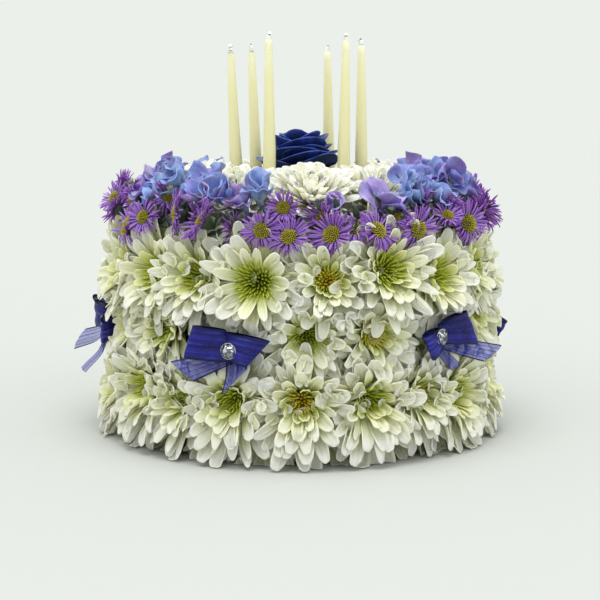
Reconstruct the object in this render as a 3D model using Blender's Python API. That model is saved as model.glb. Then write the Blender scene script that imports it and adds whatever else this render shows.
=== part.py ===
"""A birthday cake made of fresh flowers, as a florist builds it on a drum of wet foam.

White spray chrysanthemums cover the side in three rows and the top in a ring. Sprays of purple
asters and sprigs of blue delphinium run round the rim, a dark blue rose sits in the middle of
the top inside a ring of six tapered candles, and six ribbon bows are pinned round the side.
Origin: middle of the flat underside. +Z is up and -Y is the front. Metres.
"""

import math
import random

import bmesh
import bpy
from mathutils import Matrix, Vector

# The foam drum
CORE_RADIUS = 0.0985
CORE_HEIGHT = 0.128
CORE_BEVEL = 0.003
CORE_SIDES = 32

# Gap between pieces that touch
GAP = 0.0004

# Side rows of chrysanthemums: where the eye of a bloom stands
EYE_RADIUS = 0.1105
UPPER_HEIGHT = 0.1045
MIDDLE_HEIGHT = 0.0745
LOWER_HEIGHT = 0.0340
UPPER_FRONT = (-47.0, -31.0, -12.5, 8.0, 25.5, 43.5)
LOWER_FRONT = (-51.0, -36.0, -19.5, 0.5, 20.0, 36.5, 51.5)
ROW_COUNT = 18
MIDDLE_AZIMUTHS = (-60.0, -43.0, 2.0, 21.5, 66.0, 84.0, 119.0, 138.0, 178.0, 198.0, 238.0, 258.0)
SMALL_LOWER = (1, 5, 8, 11, 14)

# Bloom radii
UPPER_BLOOM = 0.0300
MIDDLE_BLOOM = 0.0285
LOWER_BLOOM = 0.0385
SMALL_BLOOM = 0.0270
TOP_BLOOM = 0.0370

# The ring of chrysanthemums on the top
TOP_RING = 0.0645
TOP_AZIMUTHS = (-34.0, 6.0, 44.0, 86.0, 126.0, 165.0, 206.0, 246.0, 286.0)
TOP_PER_STEM = 3
TOP_EYE = 0.155

# Asters round the rim, in sprays of five
ASTER_RING = 0.1130
ASTER_HEIGHT = 0.1340
ASTER_RADIUS = 0.0140
ASTER_SPRAYS = 6
ASTERS_PER_SPRAY = 5

# Leaves between the heads of a spray
LEAF_HALF_WIDTH = 0.0055
LEAF_HALF_DEPTH = 0.0022
LEAF_BACK = 0.0045

# Delphinium sprigs: azimuth of the middle, and how many florets
SPRIGS = ((-47.0, 5), (-14.0, 2), (21.0, 2), (58.0, 5), (113.0, 5), (172.0, 5), (235.0, 5))
FLORET_RADIUS = 0.0165
FLORET_STEP = 9.5
FLORET_BACK = 0.95
STALK_RADIUS = 0.0016

# Rose and candles
ROSE_RADIUS = 0.0315
ROSE_TOP = 0.1865
ROSE_RIM = 0.168
ROSE_PETALS = 5
CANDLE_RING = 0.0385
CANDLE_AZIMUTHS = (-28.0, 42.0, 92.0, 150.0, -135.0, -88.0)
CANDLE_LEANS = (0.5, 0.0, 1.5, -1.5, 3.0, 3.0)
CANDLE_RADIUS = 0.0034
CANDLE_TIP_RADIUS = 0.0019
CANDLE_SHOULDER = 0.2380
CANDLE_TOP = 0.2435
CANDLE_SIDES = 8

# Ribbon bow with its jewelled pin
RIBBON_THICKNESS = 0.0009
JEWEL_RADIUS = 0.0046
PIN_RADIUS = 0.0009
BOW_HEIGHT = 0.0655
BOW_FACE = 0.1160
BOW_BACK = 0.1135
BOW_BACK_SLOPE = math.radians(12)

# The folds of a bow as flat shapes: along the bow to its right, and up it, from the pin
EVEN_BOW = (
    ((0.0015, 0.0070), (-0.0025, 0.0095), (-0.0195, 0.0135), (-0.0253, -0.0045), (0.0010, -0.0065)),
    ((-0.0020, 0.0060), (0.0241, 0.0065), (0.0103, -0.0081), (-0.0020, -0.0050)),
    ((0.0020, -0.0010), (-0.0333, -0.0070), (-0.0200, -0.0178), (0.0020, -0.0075)),
    ((-0.0030, 0.0015), (-0.0040, -0.0248), (0.0095, -0.0095), (0.0030, 0.0015)),
)
TURNED_BOW = (
    ((-0.0020, 0.0040), (0.0024, 0.0110), (0.0172, 0.0135), (0.0265, -0.0067), (-0.0020, -0.0040)),
    ((0.0020, 0.0050), (-0.0150, 0.0015), (-0.0110, -0.0080), (-0.0020, -0.0150), (0.0035, -0.0050)),
    ((0.0000, 0.0010), (0.0444, -0.0090), (0.0318, -0.0177), (0.0010, -0.0070)),
    ((-0.0020, -0.0020), (0.0090, -0.0205), (0.0160, -0.0175), (0.0040, 0.0015)),
)

# Azimuth of a bow, its shape, which way round it is, and how far its folds flare outwards
BOWS = (
    (-80.0, TURNED_BOW, -1, 24.0),
    (-20.0, EVEN_BOW, 1, 16.0),
    (46.0, TURNED_BOW, 1, 16.0),
    (101.0, EVEN_BOW, -1, 18.0),
    (158.0, TURNED_BOW, -1, 18.0),
    (218.0, EVEN_BOW, 1, 16.0),
)

# How far behind its eye a head is seen whole from, for its size
DEPTHS = {"bloom": 0.13, "aster": 0.13, "floret": 0.35}

UP = Vector((0.0, 0.0, 1.0))


class Head:
    """One flower head: its node, place, outward axis and size, and the planes that hold it in."""

    def __init__(self, node, kind, spot, axis, radius, petals, back, twist=0.0):
        self.node = node
        self.kind = kind
        self.spot = spot
        self.axis = axis.normalized()
        self.radius = radius
        self.petals = petals
        self.back = back
        self.twist = twist
        self.ease = 1.0 - 0.02 * twist
        self.planes = []

    @property
    def middle(self):
        """A point inside the head, from which all of its surface can be seen."""
        return self.spot - self.axis * self.radius * DEPTHS[self.kind]


def outward(azimuth):
    """The horizontal direction at an azimuth in degrees; 0 is the front and 90 the right."""
    angle = math.radians(azimuth)
    return Vector((math.sin(angle), -math.cos(angle), 0.0))


def sideways(azimuth):
    angle = math.radians(azimuth)
    return Vector((math.cos(angle), math.sin(angle), 0.0))


def tilted(azimuth, tilt):
    """The outward direction raised by a tilt in degrees."""
    angle = math.radians(tilt)
    return outward(azimuth) * math.cos(angle) + UP * math.sin(angle)


def row_azimuths(front, count):
    """The front blooms' own azimuths, then the rest evenly round the back."""
    rest = count - len(front)
    span = 360.0 - (front[-1] - front[0])
    return list(front) + [front[-1] + span * (i + 1) / (rest + 1) for i in range(rest)]


def link_node(prefix, number):
    return f"{prefix}_{number:02d}"


def upper_and_middle_heads(draw):
    """Each upper bloom, with the middle bloom next below it on the same stem."""
    heads = []
    upper = row_azimuths(UPPER_FRONT, ROW_COUNT)
    for number, azimuth in enumerate(upper):
        height = UPPER_HEIGHT + draw.uniform(-0.003, 0.003)
        spot = outward(azimuth) * EYE_RADIUS + UP * height
        axis = tilted(azimuth + draw.uniform(-8, 8), draw.uniform(2, 16))
        over_bow = min(abs((azimuth - bow[0] + 180) % 360 - 180) for bow in BOWS) < 12
        size = UPPER_BLOOM * draw.uniform(0.96, 1.04) * (1.16 if over_bow else 1.0)
        back = outward(azimuth) * CORE_RADIUS + UP * height
        node = link_node("upper_mums", number + 1)
        heads.append(Head(node, "bloom", spot, axis, size, 8, back, draw.uniform(0, 1)))
    for azimuth in MIDDLE_AZIMUTHS:
        height = MIDDLE_HEIGHT + draw.uniform(-0.003, 0.003)
        spot = outward(azimuth) * EYE_RADIUS + UP * height
        axis = tilted(azimuth + draw.uniform(-8, 8), draw.uniform(-8, 6))
        size = MIDDLE_BLOOM * draw.uniform(0.94, 1.06)
        back = outward(azimuth) * CORE_RADIUS + UP * height
        taken = {head.node for head in heads[ROW_COUNT:]}
        free = [head for head in heads[:ROW_COUNT] if head.node not in taken]
        nearest = min(free, key=lambda head: (head.spot - spot).length)
        heads.append(Head(nearest.node, "bloom", spot, axis, size, 8, back, draw.uniform(0, 1)))
    return heads


def lower_heads(draw):
    """The lower row. A small bloom shares the stem of the bloom before it, and so do two pairs."""
    heads = []
    number = 0
    shares = set(SMALL_LOWER) | {17, 3}
    for index, azimuth in enumerate(row_azimuths(LOWER_FRONT, ROW_COUNT)):
        small = index in SMALL_LOWER
        if index not in shares:
            number += 1
        height = LOWER_HEIGHT + draw.uniform(-0.002, 0.003)
        spot = outward(azimuth) * EYE_RADIUS + UP * height
        axis = tilted(azimuth + draw.uniform(-7, 7), draw.uniform(-10, 2))
        size = (SMALL_BLOOM if small else LOWER_BLOOM) * draw.uniform(0.95, 1.05)
        petals = 7 if small else 8
        back = outward(azimuth) * CORE_RADIUS + UP * height
        node = link_node("lower_mums", number)
        heads.append(Head(node, "bloom", spot, axis, size, petals, back, draw.uniform(0, 1)))
    return heads


def top_heads(draw):
    """Blooms on the top, three to a stem."""
    heads = []
    for index, azimuth in enumerate(TOP_AZIMUTHS):
        ring = TOP_RING + draw.uniform(-0.001, 0.002)
        spot = outward(azimuth) * ring + UP * (TOP_EYE + draw.uniform(-0.002, 0.002))
        axis = tilted(azimuth + draw.uniform(-8, 8), draw.uniform(58, 72))
        size = TOP_BLOOM * draw.uniform(0.95, 1.03)
        back = outward(azimuth) * ring + UP * CORE_HEIGHT
        node = link_node("top_mums", index // TOP_PER_STEM + 1)
        heads.append(Head(node, "bloom", spot, axis, size, 8, back, draw.uniform(0, 1)))
    return heads


def aster_heads(draw):
    heads = []
    count = ASTER_SPRAYS * ASTERS_PER_SPRAY
    first = -61.0
    for index in range(count):
        azimuth = first + 360.0 * index / count + draw.uniform(-1.2, 1.2)
        height = ASTER_HEIGHT + draw.uniform(-0.003, 0.0035)
        spot = outward(azimuth) * ASTER_RING + UP * height
        axis = tilted(azimuth + draw.uniform(-14, 14), draw.uniform(4, 26))
        size = ASTER_RADIUS * draw.uniform(0.95, 1.1)
        back = outward(azimuth) * (CORE_RADIUS - 0.001) + UP * CORE_HEIGHT
        node = link_node("aster_spray", index // ASTERS_PER_SPRAY + 1)
        heads.append(Head(node, "aster", spot, axis, size, 7, back, draw.uniform(0, 1)))
    return heads


def floret_heads(draw):
    """Florets of a sprig stand beside each other, nearer to and further from the rim by turns."""
    heads = []
    for number, (middle, count) in enumerate(SPRIGS):
        for index in range(count):
            azimuth = middle + (index - (count - 1) / 2) * FLORET_STEP
            inner = index % 2
            ring = 0.096 - 0.012 * inner + draw.uniform(-0.001, 0.001)
            height = 0.1480 + 0.0050 * inner + draw.uniform(-0.001, 0.002)
            spot = outward(azimuth) * ring + UP * height
            axis = tilted(azimuth + draw.uniform(-25, 25), draw.uniform(20, 60))
            size = FLORET_RADIUS * draw.uniform(0.92, 1.08)
            back = spot - axis * size * FLORET_BACK
            node = link_node("delphinium_sprig", number + 1)
            heads.append(Head(node, "floret", spot, axis, size, 5, back, draw.uniform(0, 1)))
    return heads


def all_heads():
    draw = random.Random(7)
    heads = upper_and_middle_heads(draw)
    heads += lower_heads(draw)
    heads += top_heads(draw)
    heads += aster_heads(draw)
    heads += floret_heads(draw)
    return heads


def candle_axis(index, height):
    """The middle of a candle at a height, leaning outwards by its own few degrees."""
    azimuth = CANDLE_AZIMUTHS[index]
    rise = height - CORE_HEIGHT
    ring = CANDLE_RING + rise * math.tan(math.radians(CANDLE_LEANS[index]))
    return outward(azimuth) * ring + UP * height


def keep_side(head, point, normal):
    """Adds a plane that the head stays behind; the normal points away from the head."""
    head.planes.append((point - normal * GAP / 2, normal))


def add_neighbour_planes(heads):
    """Parts each two heads of different nodes by a plane, placed by their sizes."""
    for i, first in enumerate(heads):
        for second in heads[i + 1 :]:
            apart = second.middle - first.middle
            if first.node == second.node:
                continue
            if apart.length > 1.6 * (first.radius + second.radius):
                continue
            normal = apart.normalized()
            share = first.radius / (first.radius + second.radius)
            point = first.middle + apart * share
            keep_side(first, point, normal)
            keep_side(second, point, -normal)


def add_candle_planes(heads):
    for head in heads:
        for index in range(len(CANDLE_AZIMUTHS)):
            axis_point = candle_axis(index, head.middle.z)
            apart = axis_point - head.middle
            apart.z = 0.0
            if apart.length > 0.06:
                continue
            normal = apart.normalized()
            lean_room = 0.02 * math.tan(math.radians(abs(CANDLE_LEANS[index])))
            room = CANDLE_RADIUS + lean_room + GAP
            keep_side(head, axis_point - normal * room, normal)


def add_rose_planes(heads):
    """The top blooms stay outside the rose."""
    for head in heads:
        flat = Vector((head.middle.x, head.middle.y, 0.0))
        if flat.length < 0.08:
            inward = -flat.normalized()
            keep_side(head, -inward * (ROSE_RADIUS + 0.002) + UP * head.middle.z, inward)


def add_bow_planes(heads):
    """Side blooms stay under the flaring bows and off their pins."""
    for azimuth, _, _, _ in BOWS:
        away = outward(azimuth)
        centre = away * BOW_BACK + UP * BOW_HEIGHT
        for head in heads:
            apart = head.spot - centre
            if apart.length > 0.085:
                continue
            across = apart - away * apart.dot(away)
            across.normalize()
            lean = away * math.cos(BOW_BACK_SLOPE) - across * math.sin(BOW_BACK_SLOPE)
            keep_side(head, centre, lean)
            keep_side(head, centre + across * (PIN_RADIUS + GAP), -across)


def add_core_and_floor_planes(heads):
    for head in heads:
        keep_side(head, Vector((0.0, 0.0, 0.0005)), -UP)
        flat = Vector((head.back.x, head.back.y, 0.0)).normalized()
        if head.kind == "bloom" and head.spot.z < CORE_HEIGHT:
            inward = -flat
            keep_side(head, flat * CORE_RADIUS, inward)
        elif head.kind == "aster":
            shoulder = flat * CORE_RADIUS + UP * (CORE_HEIGHT - CORE_BEVEL)
            inward = -(flat + UP).normalized()
            keep_side(head, shoulder + UP * CORE_BEVEL, inward)
        else:
            keep_side(head, UP * CORE_HEIGHT, -UP)


def held_in(head, point):
    """The point drawn straight towards the head's middle until it is behind every plane.

    Each head eases off by its own small amount, so that no two share a face.
    """
    middle = head.middle
    share = 1.0
    for plane_point, normal in head.planes:
        at_middle = normal.dot(middle - plane_point)
        at_point = normal.dot(point - plane_point)
        if at_point > 0.0:
            share = min(share, head.ease * at_middle / (at_middle - at_point))
    return middle + (point - middle) * share


def head_rings(head):
    """Rings of (radius, height) pairs, by turns for a petal's ridge and the notch beside it."""
    size = head.radius
    if head.kind == "bloom":
        return (
            ((0.36 * size, 0.15 * size), (0.48 * size, 0.26 * size)),
            ((1.00 * size, 0.20 * size), (0.84 * size, 0.08 * size)),
            ((0.50 * size, -0.20 * size), (0.50 * size, -0.20 * size)),
        ), 0.04 * size
    if head.kind == "aster":
        return (
            ((0.36 * size, 0.12 * size), (0.36 * size, 0.12 * size)),
            ((1.00 * size, 0.08 * size), (0.62 * size, 0.00 * size)),
        ), 0.26 * size
    return (
        ((0.45 * size, -0.02 * size), (0.42 * size, -0.02 * size)),
        ((1.00 * size, 0.26 * size), (0.72 * size, 0.06 * size)),
    ), 0.10 * size


def head_mesh(head):
    """A closed petalled disc, pointed at the back where it meets the foam."""
    rings, centre_height = head_rings(head)
    columns = head.petals * 2
    turn = head.axis.to_track_quat("Z", "Y").to_matrix()
    draw = random.Random(int(head.twist * 1e6))
    reach = [draw.uniform(0.90, 1.0) for _ in range(head.petals)]
    build = bmesh.new()
    made = []
    for ring in rings:
        row = []
        for column in range(columns):
            petal, notch = divmod(column, 2)
            radius, height = ring[notch]
            if not notch:
                radius *= reach[petal]
            angle = 2 * math.pi * (column + head.twist) / columns
            local = Vector((radius * math.cos(angle), radius * math.sin(angle), height))
            row.append(build.verts.new(held_in(head, head.spot + turn @ local)))
        made.append(row)
    front = build.verts.new(held_in(head, head.spot + head.axis * centre_height))
    back = build.verts.new(held_in(head, head.back))
    for column in range(columns):
        following = (column + 1) % columns
        build.faces.new((front, made[0][column], made[0][following]))
        build.faces.new((back, made[-1][following], made[-1][column]))
        for inner, outer in zip(made[:-1], made[1:]):
            build.faces.new((inner[column], outer[column], outer[following], inner[following]))
    bmesh.ops.triangulate(build, faces=build.faces[:])
    mesh = bpy.data.meshes.new(head.node)
    build.to_mesh(mesh)
    build.free()
    return mesh


def leaf_mesh(first, second):
    """A thick leaf that runs from behind one head to behind the next, in their own spaces."""
    begin = first.middle - first.axis * LEAF_BACK * 0.4
    end = second.middle - second.axis * LEAF_BACK * 0.4
    along = (end - begin).normalized()
    out = (first.axis + second.axis).normalized()
    across = along.cross(out).normalized()
    halfway = (begin + end) / 2
    corners = [
        begin,
        held_in(first, held_in(second, halfway + across * LEAF_HALF_WIDTH)),
        held_in(first, held_in(second, halfway + out * LEAF_HALF_DEPTH)),
        held_in(first, held_in(second, halfway - across * LEAF_HALF_WIDTH)),
        held_in(first, held_in(second, halfway - out * LEAF_HALF_DEPTH)),
        end,
    ]
    build = bmesh.new()
    made = [build.verts.new(corner) for corner in corners]
    for side in range(4):
        following = (side + 1) % 4
        build.faces.new((made[0], made[1 + side], made[1 + following]))
        build.faces.new((made[5], made[1 + following], made[1 + side]))
    bmesh.ops.recalc_face_normals(build, faces=build.faces[:])
    mesh = bpy.data.meshes.new("leaf")
    build.to_mesh(mesh)
    build.free()
    return mesh


def stalk_mesh(head):
    """The stalk of a sprig, from inside a floret down to the foam."""
    top = head.middle - head.axis * head.radius * 0.2
    length = top.z - CORE_HEIGHT - GAP
    profile = ((0.0, 0.0), (STALK_RADIUS, 0.0), (STALK_RADIUS, length), (0.0, length))
    return turned(profile, 5, None, Vector((top.x, top.y, CORE_HEIGHT + GAP)))


def material(name, colour, roughness=0.6, metallic=0.0):
    made = bpy.data.materials.new(name)
    made.use_nodes = True
    surface = made.node_tree.nodes["Principled BSDF"]
    surface.inputs["Base Color"].default_value = (*colour, 1.0)
    surface.inputs["Roughness"].default_value = roughness
    surface.inputs["Metallic"].default_value = metallic
    return made


def new_object(name, mesh, paint):
    made = bpy.data.objects.new(name, mesh)
    bpy.context.scene.collection.objects.link(made)
    made.data.materials.append(paint)
    return made


def joined(name, meshes, paint):
    """One solid of several overlapping ones, by a single union that is then applied."""
    base = new_object(name, meshes[0], paint)
    if len(meshes) == 1:
        return base
    group = bpy.data.collections.new(name)
    bpy.context.scene.collection.children.link(group)
    others = [bpy.data.objects.new(f"{name}_add", mesh) for mesh in meshes[1:]]
    for other in others:
        group.objects.link(other)
    union = base.modifiers.new("Join", "BOOLEAN")
    union.operation = "UNION"
    union.operand_type = "COLLECTION"
    union.collection = group
    union.solver = "EXACT"
    bpy.context.view_layer.objects.active = base
    bpy.ops.object.modifier_apply(modifier=union.name)
    for other in others:
        bpy.data.objects.remove(other)
    bpy.data.collections.remove(group)
    return base


def prism(points, axis):
    """A closed solid of a flat outline, extruded along a vector."""
    build = bmesh.new()
    build.faces.new([build.verts.new(point) for point in points])
    flat = bmesh.ops.triangulate(build, faces=build.faces[:])
    grown = bmesh.ops.extrude_face_region(build, geom=flat["faces"])
    moved = [item for item in grown["geom"] if isinstance(item, bmesh.types.BMVert)]
    bmesh.ops.translate(build, verts=moved, vec=axis)
    bmesh.ops.recalc_face_normals(build, faces=build.faces[:])
    mesh = bpy.data.meshes.new("prism")
    build.to_mesh(mesh)
    build.free()
    return mesh


def turned(profile, sides, turn=None, place=None, name="turned"):
    """A closed solid of revolution about local Z, from (radius, height) pairs that end on it."""
    build = bmesh.new()
    ends = [build.verts.new((0.0, 0.0, profile[0][1])), build.verts.new((0.0, 0.0, profile[-1][1]))]
    rows = []
    for radius, height in profile[1:-1]:
        angles = [2 * math.pi * side / sides for side in range(sides)]
        rows.append([build.verts.new((radius * math.cos(a), radius * math.sin(a), height)) for a in angles])
    for side in range(sides):
        following = (side + 1) % sides
        build.faces.new((ends[0], rows[0][following], rows[0][side]))
        build.faces.new((ends[1], rows[-1][side], rows[-1][following]))
        for low, high in zip(rows[:-1], rows[1:]):
            build.faces.new((low[side], low[following], high[following], high[side]))
    if turn is not None:
        bmesh.ops.transform(build, matrix=turn.to_4x4(), verts=build.verts[:])
    if place is not None:
        bmesh.ops.translate(build, verts=build.verts[:], vec=place)
    bmesh.ops.recalc_face_normals(build, faces=build.faces[:])
    mesh = bpy.data.meshes.new(name)
    build.to_mesh(mesh)
    build.free()
    return mesh


def make_core(paint):
    profile = (
        (0.0, 0.0),
        (CORE_RADIUS - CORE_BEVEL, 0.0),
        (CORE_RADIUS, CORE_BEVEL),
        (CORE_RADIUS, CORE_HEIGHT - CORE_BEVEL),
        (CORE_RADIUS - CORE_BEVEL, CORE_HEIGHT),
        (0.0, CORE_HEIGHT),
    )
    return new_object("foam_core", turned(profile, CORE_SIDES), paint)


def make_candle(index, paint):
    """A tapered candle with its waxed wick, standing on the foam."""
    foot = candle_axis(index, CORE_HEIGHT + GAP)
    tip = candle_axis(index, CANDLE_TOP)
    length = (tip - foot).length
    shoulder = length - (CANDLE_TOP - CANDLE_SHOULDER)
    profile = (
        (0.0, 0.0),
        (CANDLE_RADIUS, 0.0),
        (CANDLE_RADIUS, 0.42 * length),
        (CANDLE_TIP_RADIUS, shoulder),
        (0.0007, shoulder + 0.0008),
        (0.0006, length),
        (0.0, length),
    )
    turn = (tip - foot).to_track_quat("Z", "Y").to_matrix()
    mesh = turned(profile, CANDLE_SIDES, turn, foot + UP * 0.0002)
    return new_object(f"candle_{index + 1}", mesh, paint)


def make_rose(paint):
    """A rose of crests that wind inwards: each ring of petals stands above the dip inside it."""
    rings = (
        (0.0040, ROSE_TOP - 0.0010, 0.0),
        (0.0075, ROSE_TOP - 0.0055, 0.0),
        (0.0120, ROSE_TOP - 0.0010, 0.0016),
        (0.0145, ROSE_TOP - 0.0085, 0.0),
        (0.0200, ROSE_TOP - 0.0050, 0.0022),
        (0.0225, ROSE_TOP - 0.0125, 0.0),
        (0.0285, ROSE_TOP - 0.0105, 0.0026),
        (ROSE_RADIUS - 0.0005, ROSE_RIM - 0.0020, 0.0030),
        (0.0240, ROSE_RIM - 0.0180, 0.0),
        (0.0110, CORE_HEIGHT + 0.0080, 0.0),
        (0.0070, CORE_HEIGHT + GAP, 0.0),
    )
    columns = ROSE_PETALS * 3
    build = bmesh.new()
    rows = []
    for number, (radius, height, scallop) in enumerate(rings):
        row = []
        for column in range(columns):
            angle = 2 * math.pi * column / columns
            wave = math.cos(ROSE_PETALS * angle + number * 1.9)
            reach = radius + (0.0007 * wave if scallop else 0.0)
            reach = min(reach, ROSE_RADIUS)
            rise = height + scallop * wave
            row.append(build.verts.new((reach * math.cos(angle), reach * math.sin(angle), rise)))
        rows.append(row)
    top = build.verts.new((0.0, 0.0, ROSE_TOP - 0.0040))
    foot = build.verts.new((0.0, 0.0, CORE_HEIGHT + GAP))
    for column in range(columns):
        following = (column + 1) % columns
        build.faces.new((top, rows[0][column], rows[0][following]))
        build.faces.new((foot, rows[-1][following], rows[-1][column]))
        for inner, outer in zip(rows[:-1], rows[1:]):
            build.faces.new((inner[column], outer[column], outer[following], inner[following]))
    bmesh.ops.recalc_face_normals(build, faces=build.faces[:])
    mesh = bpy.data.meshes.new("rose")
    build.to_mesh(mesh)
    build.free()
    return new_object("rose", mesh, paint)


def ribbon_piece(azimuth, outline, way, flare, lift):
    """One fold of a bow, which flares away from the cake the further it is from the pin."""
    slope = math.tan(math.radians(flare))
    points = []
    for along, rise in outline:
        away = BOW_FACE + lift + math.hypot(along, rise) * slope
        points.append(outward(azimuth) * away + sideways(azimuth) * along * way + UP * (BOW_HEIGHT + rise))
    return prism(points, outward(azimuth) * RIBBON_THICKNESS)


def make_bow(number, azimuth, folds, way, flare, paint):
    """The folds of a bow, the jewel at its waist and the pin that runs in to the foam."""
    away = outward(azimuth)
    turn = away.to_track_quat("Z", "Y").to_matrix()
    centre = away * BOW_FACE + UP * BOW_HEIGHT
    jewel = (
        (0.0, -0.0010),
        (0.6 * JEWEL_RADIUS, -0.0010),
        (JEWEL_RADIUS, 0.0012),
        (0.6 * JEWEL_RADIUS, 0.0034),
        (0.0, 0.0034),
    )
    pin_length = BOW_FACE - CORE_RADIUS - GAP
    pin = (
        (0.0, -pin_length),
        (PIN_RADIUS, -pin_length),
        (PIN_RADIUS, 0.0),
        (0.0, 0.0),
    )
    meshes = [turned(jewel, 7, turn, centre), turned(pin, 4, turn, centre)]
    for layer, outline in enumerate(folds):
        lift = -0.5 * RIBBON_THICKNESS * layer
        meshes.append(ribbon_piece(azimuth, outline, way, flare, lift))
    return joined(f"bow_{number}", meshes, paint)


def clear_scene():
    for item in list(bpy.data.objects):
        bpy.data.objects.remove(item)


def main():
    clear_scene()
    heads = all_heads()
    add_neighbour_planes(heads)
    add_candle_planes(heads)
    add_rose_planes(heads)
    add_bow_planes(heads)
    add_core_and_floor_planes(heads)
    petal_white = material("Chrysanthemum petals", (0.80, 0.82, 0.68), 0.55)
    aster_purple = material("Aster petals", (0.32, 0.12, 0.52), 0.6)
    delphinium_blue = material("Delphinium petals", (0.27, 0.34, 0.78), 0.55)
    paints = {"bloom": petal_white, "aster": aster_purple, "floret": delphinium_blue}
    nodes = {}
    for head in heads:
        nodes.setdefault(head.node, []).append(head)
    for name, members in nodes.items():
        meshes = [head_mesh(head) for head in members]
        if members[0].kind == "aster":
            meshes += [leaf_mesh(*pair) for pair in zip(members[:-1], members[1:])]
        if members[0].kind == "floret":
            meshes.append(stalk_mesh(members[len(members) // 2]))
        joined(name, meshes, paints[members[0].kind])
    make_core(material("Floral foam", (0.10, 0.17, 0.07), 0.9))
    make_rose(material("Rose petals", (0.010, 0.015, 0.09), 0.5))
    wax = material("Candle wax", (0.84, 0.80, 0.52), 0.35)
    for index in range(len(CANDLE_AZIMUTHS)):
        make_candle(index, wax)
    ribbon = material("Organza ribbon", (0.03, 0.03, 0.42), 0.4)
    for number, (azimuth, folds, way, flare) in enumerate(BOWS):
        make_bow(number + 1, azimuth, folds, way, flare, ribbon)


main()
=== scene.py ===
"""Looks of a birthday cake made of fresh flowers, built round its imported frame.

Each flower head, candle and bow of the frame is replaced by a detailed piece in the same place.
Metres; +Z is up, -Y is the front, and the origin is the middle of the flat underside.
"""

import math
import random

import bpy
import numpy as np
from bpy.props import FloatProperty, FloatVectorProperty, IntProperty, PointerProperty
from bpy.types import Operator, Panel, PropertyGroup
from mathutils import Matrix, Vector


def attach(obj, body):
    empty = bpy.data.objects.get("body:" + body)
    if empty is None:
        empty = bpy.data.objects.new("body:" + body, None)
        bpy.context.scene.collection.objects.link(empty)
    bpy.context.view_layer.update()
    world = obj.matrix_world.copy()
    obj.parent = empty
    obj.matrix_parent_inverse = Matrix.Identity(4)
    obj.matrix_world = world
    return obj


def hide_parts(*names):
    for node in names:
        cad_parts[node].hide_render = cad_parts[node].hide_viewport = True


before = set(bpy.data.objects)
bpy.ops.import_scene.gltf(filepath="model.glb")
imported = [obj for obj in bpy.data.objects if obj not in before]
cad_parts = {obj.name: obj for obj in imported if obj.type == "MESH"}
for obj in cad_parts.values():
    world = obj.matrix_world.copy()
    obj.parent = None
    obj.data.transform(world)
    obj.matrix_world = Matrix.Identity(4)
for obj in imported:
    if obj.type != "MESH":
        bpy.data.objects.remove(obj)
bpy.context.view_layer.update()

bl_info = {
    "name": "Flower cake",
    "version": (1, 0, 0),
    "blender": (4, 5, 0),
    "location": "3D View > Sidebar > Flower cake",
    "description": "Builds a birthday cake of fresh flowers round its frame",
    "category": "Object",
}

UP = Vector((0.0, 0.0, 1.0))
GOLDEN_ANGLE = math.radians(137.508)

# The frame's own places, as the solids were made from them
CORE_HEIGHT = 0.128
EYE_RADIUS = 0.1105
SINK = 0.0015
SPLAY = 0.1265
FLOOR_GAP = 0.0008
UPPER_HEIGHT = 0.1045
MIDDLE_HEIGHT = 0.0745
LOWER_HEIGHT = 0.0340
UPPER_FRONT = (-47.0, -31.0, -12.5, 8.0, 25.5, 43.5)
LOWER_FRONT = (-51.0, -36.0, -19.5, 0.5, 20.0, 36.5, 51.5)
ROW_COUNT = 18
MIDDLE_AZIMUTHS = (-60.0, -43.0, 2.0, 21.5, 66.0, 84.0, 119.0, 138.0, 178.0, 198.0, 238.0, 258.0)
SMALL_LOWER = (1, 5, 8, 11, 14)
TOP_RING = 0.0645
TOP_AZIMUTHS = (-34.0, 6.0, 44.0, 86.0, 126.0, 165.0, 206.0, 246.0, 286.0)
TOP_PER_STEM = 3
TOP_EYE = 0.155
TOP_LEVEL = 0.1590
TOP_BEND = 0.42
ASTER_RING = 0.1130
ASTER_HEIGHT = 0.1340
ASTER_SPRAYS = 6
ASTERS_PER_SPRAY = 5
ASTER_TUCK = 0.009
SPRIGS = ((-47.0, 5), (-14.0, 2), (21.0, 2), (58.0, 5), (113.0, 5), (172.0, 5), (235.0, 5))
FLORET_STEP = 9.5
CANDLE_RING = 0.0385
CANDLE_AZIMUTHS = (-28.0, 42.0, 92.0, 150.0, -135.0, -88.0)
CANDLE_LEANS = (0.5, 1.2, -0.3, -1.9, 3.0, 2.3)
CANDLE_DROPS = (0.0030, 0.0035, 0.0045, 0.0070, 0.0060, 0.0085)
CANDLE_TOP = 0.2435
ROSE_HEART = 0.1828
BOW_FACE = 0.1160

# Usual radius of each kind of head
UPPER_SIZE = 0.0325
MIDDLE_SIZE = 0.0305
LOWER_SIZE = 0.0330
SMALL_SIZE = 0.0265
TOP_SIZE = 0.0300
ASTER_SIZE = 0.0140
FLORET_SIZE = 0.0165

# How far each kind of head strays from its place: in height, in azimuth, in tilt and in size
UPPER_STRAY = ((-0.003, 0.003), 8, (2, 16), (0.96, 1.04))
MIDDLE_STRAY = ((-0.003, 0.003), 8, (-8, 6), (0.94, 1.06))
LOWER_STRAY = ((-0.002, 0.003), 7, (-10, 2), (0.95, 1.05))
TOP_STRAY = ((-0.002, 0.002), 8, (58, 72), (0.95, 1.03))
ASTER_STRAY = ((-0.003, 0.0035), 14, (4, 26), (0.95, 1.1))
FLORET_STRAY = ((-0.001, 0.002), 25, (20, 60), (0.92, 1.08))

# Petals keep this far behind a bow, from how far below its middle to how far above it
BOW_GAP = 0.0032
BOW_BELOW = -0.026
BOW_ABOVE = 0.0125

# How far a bow of each shape reaches to its left and right, over the petals
BOW_REACH = {"even": (-0.034, 0.025), "turned": (-0.017, 0.045), "hanging": (-0.017, 0.047)}

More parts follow.
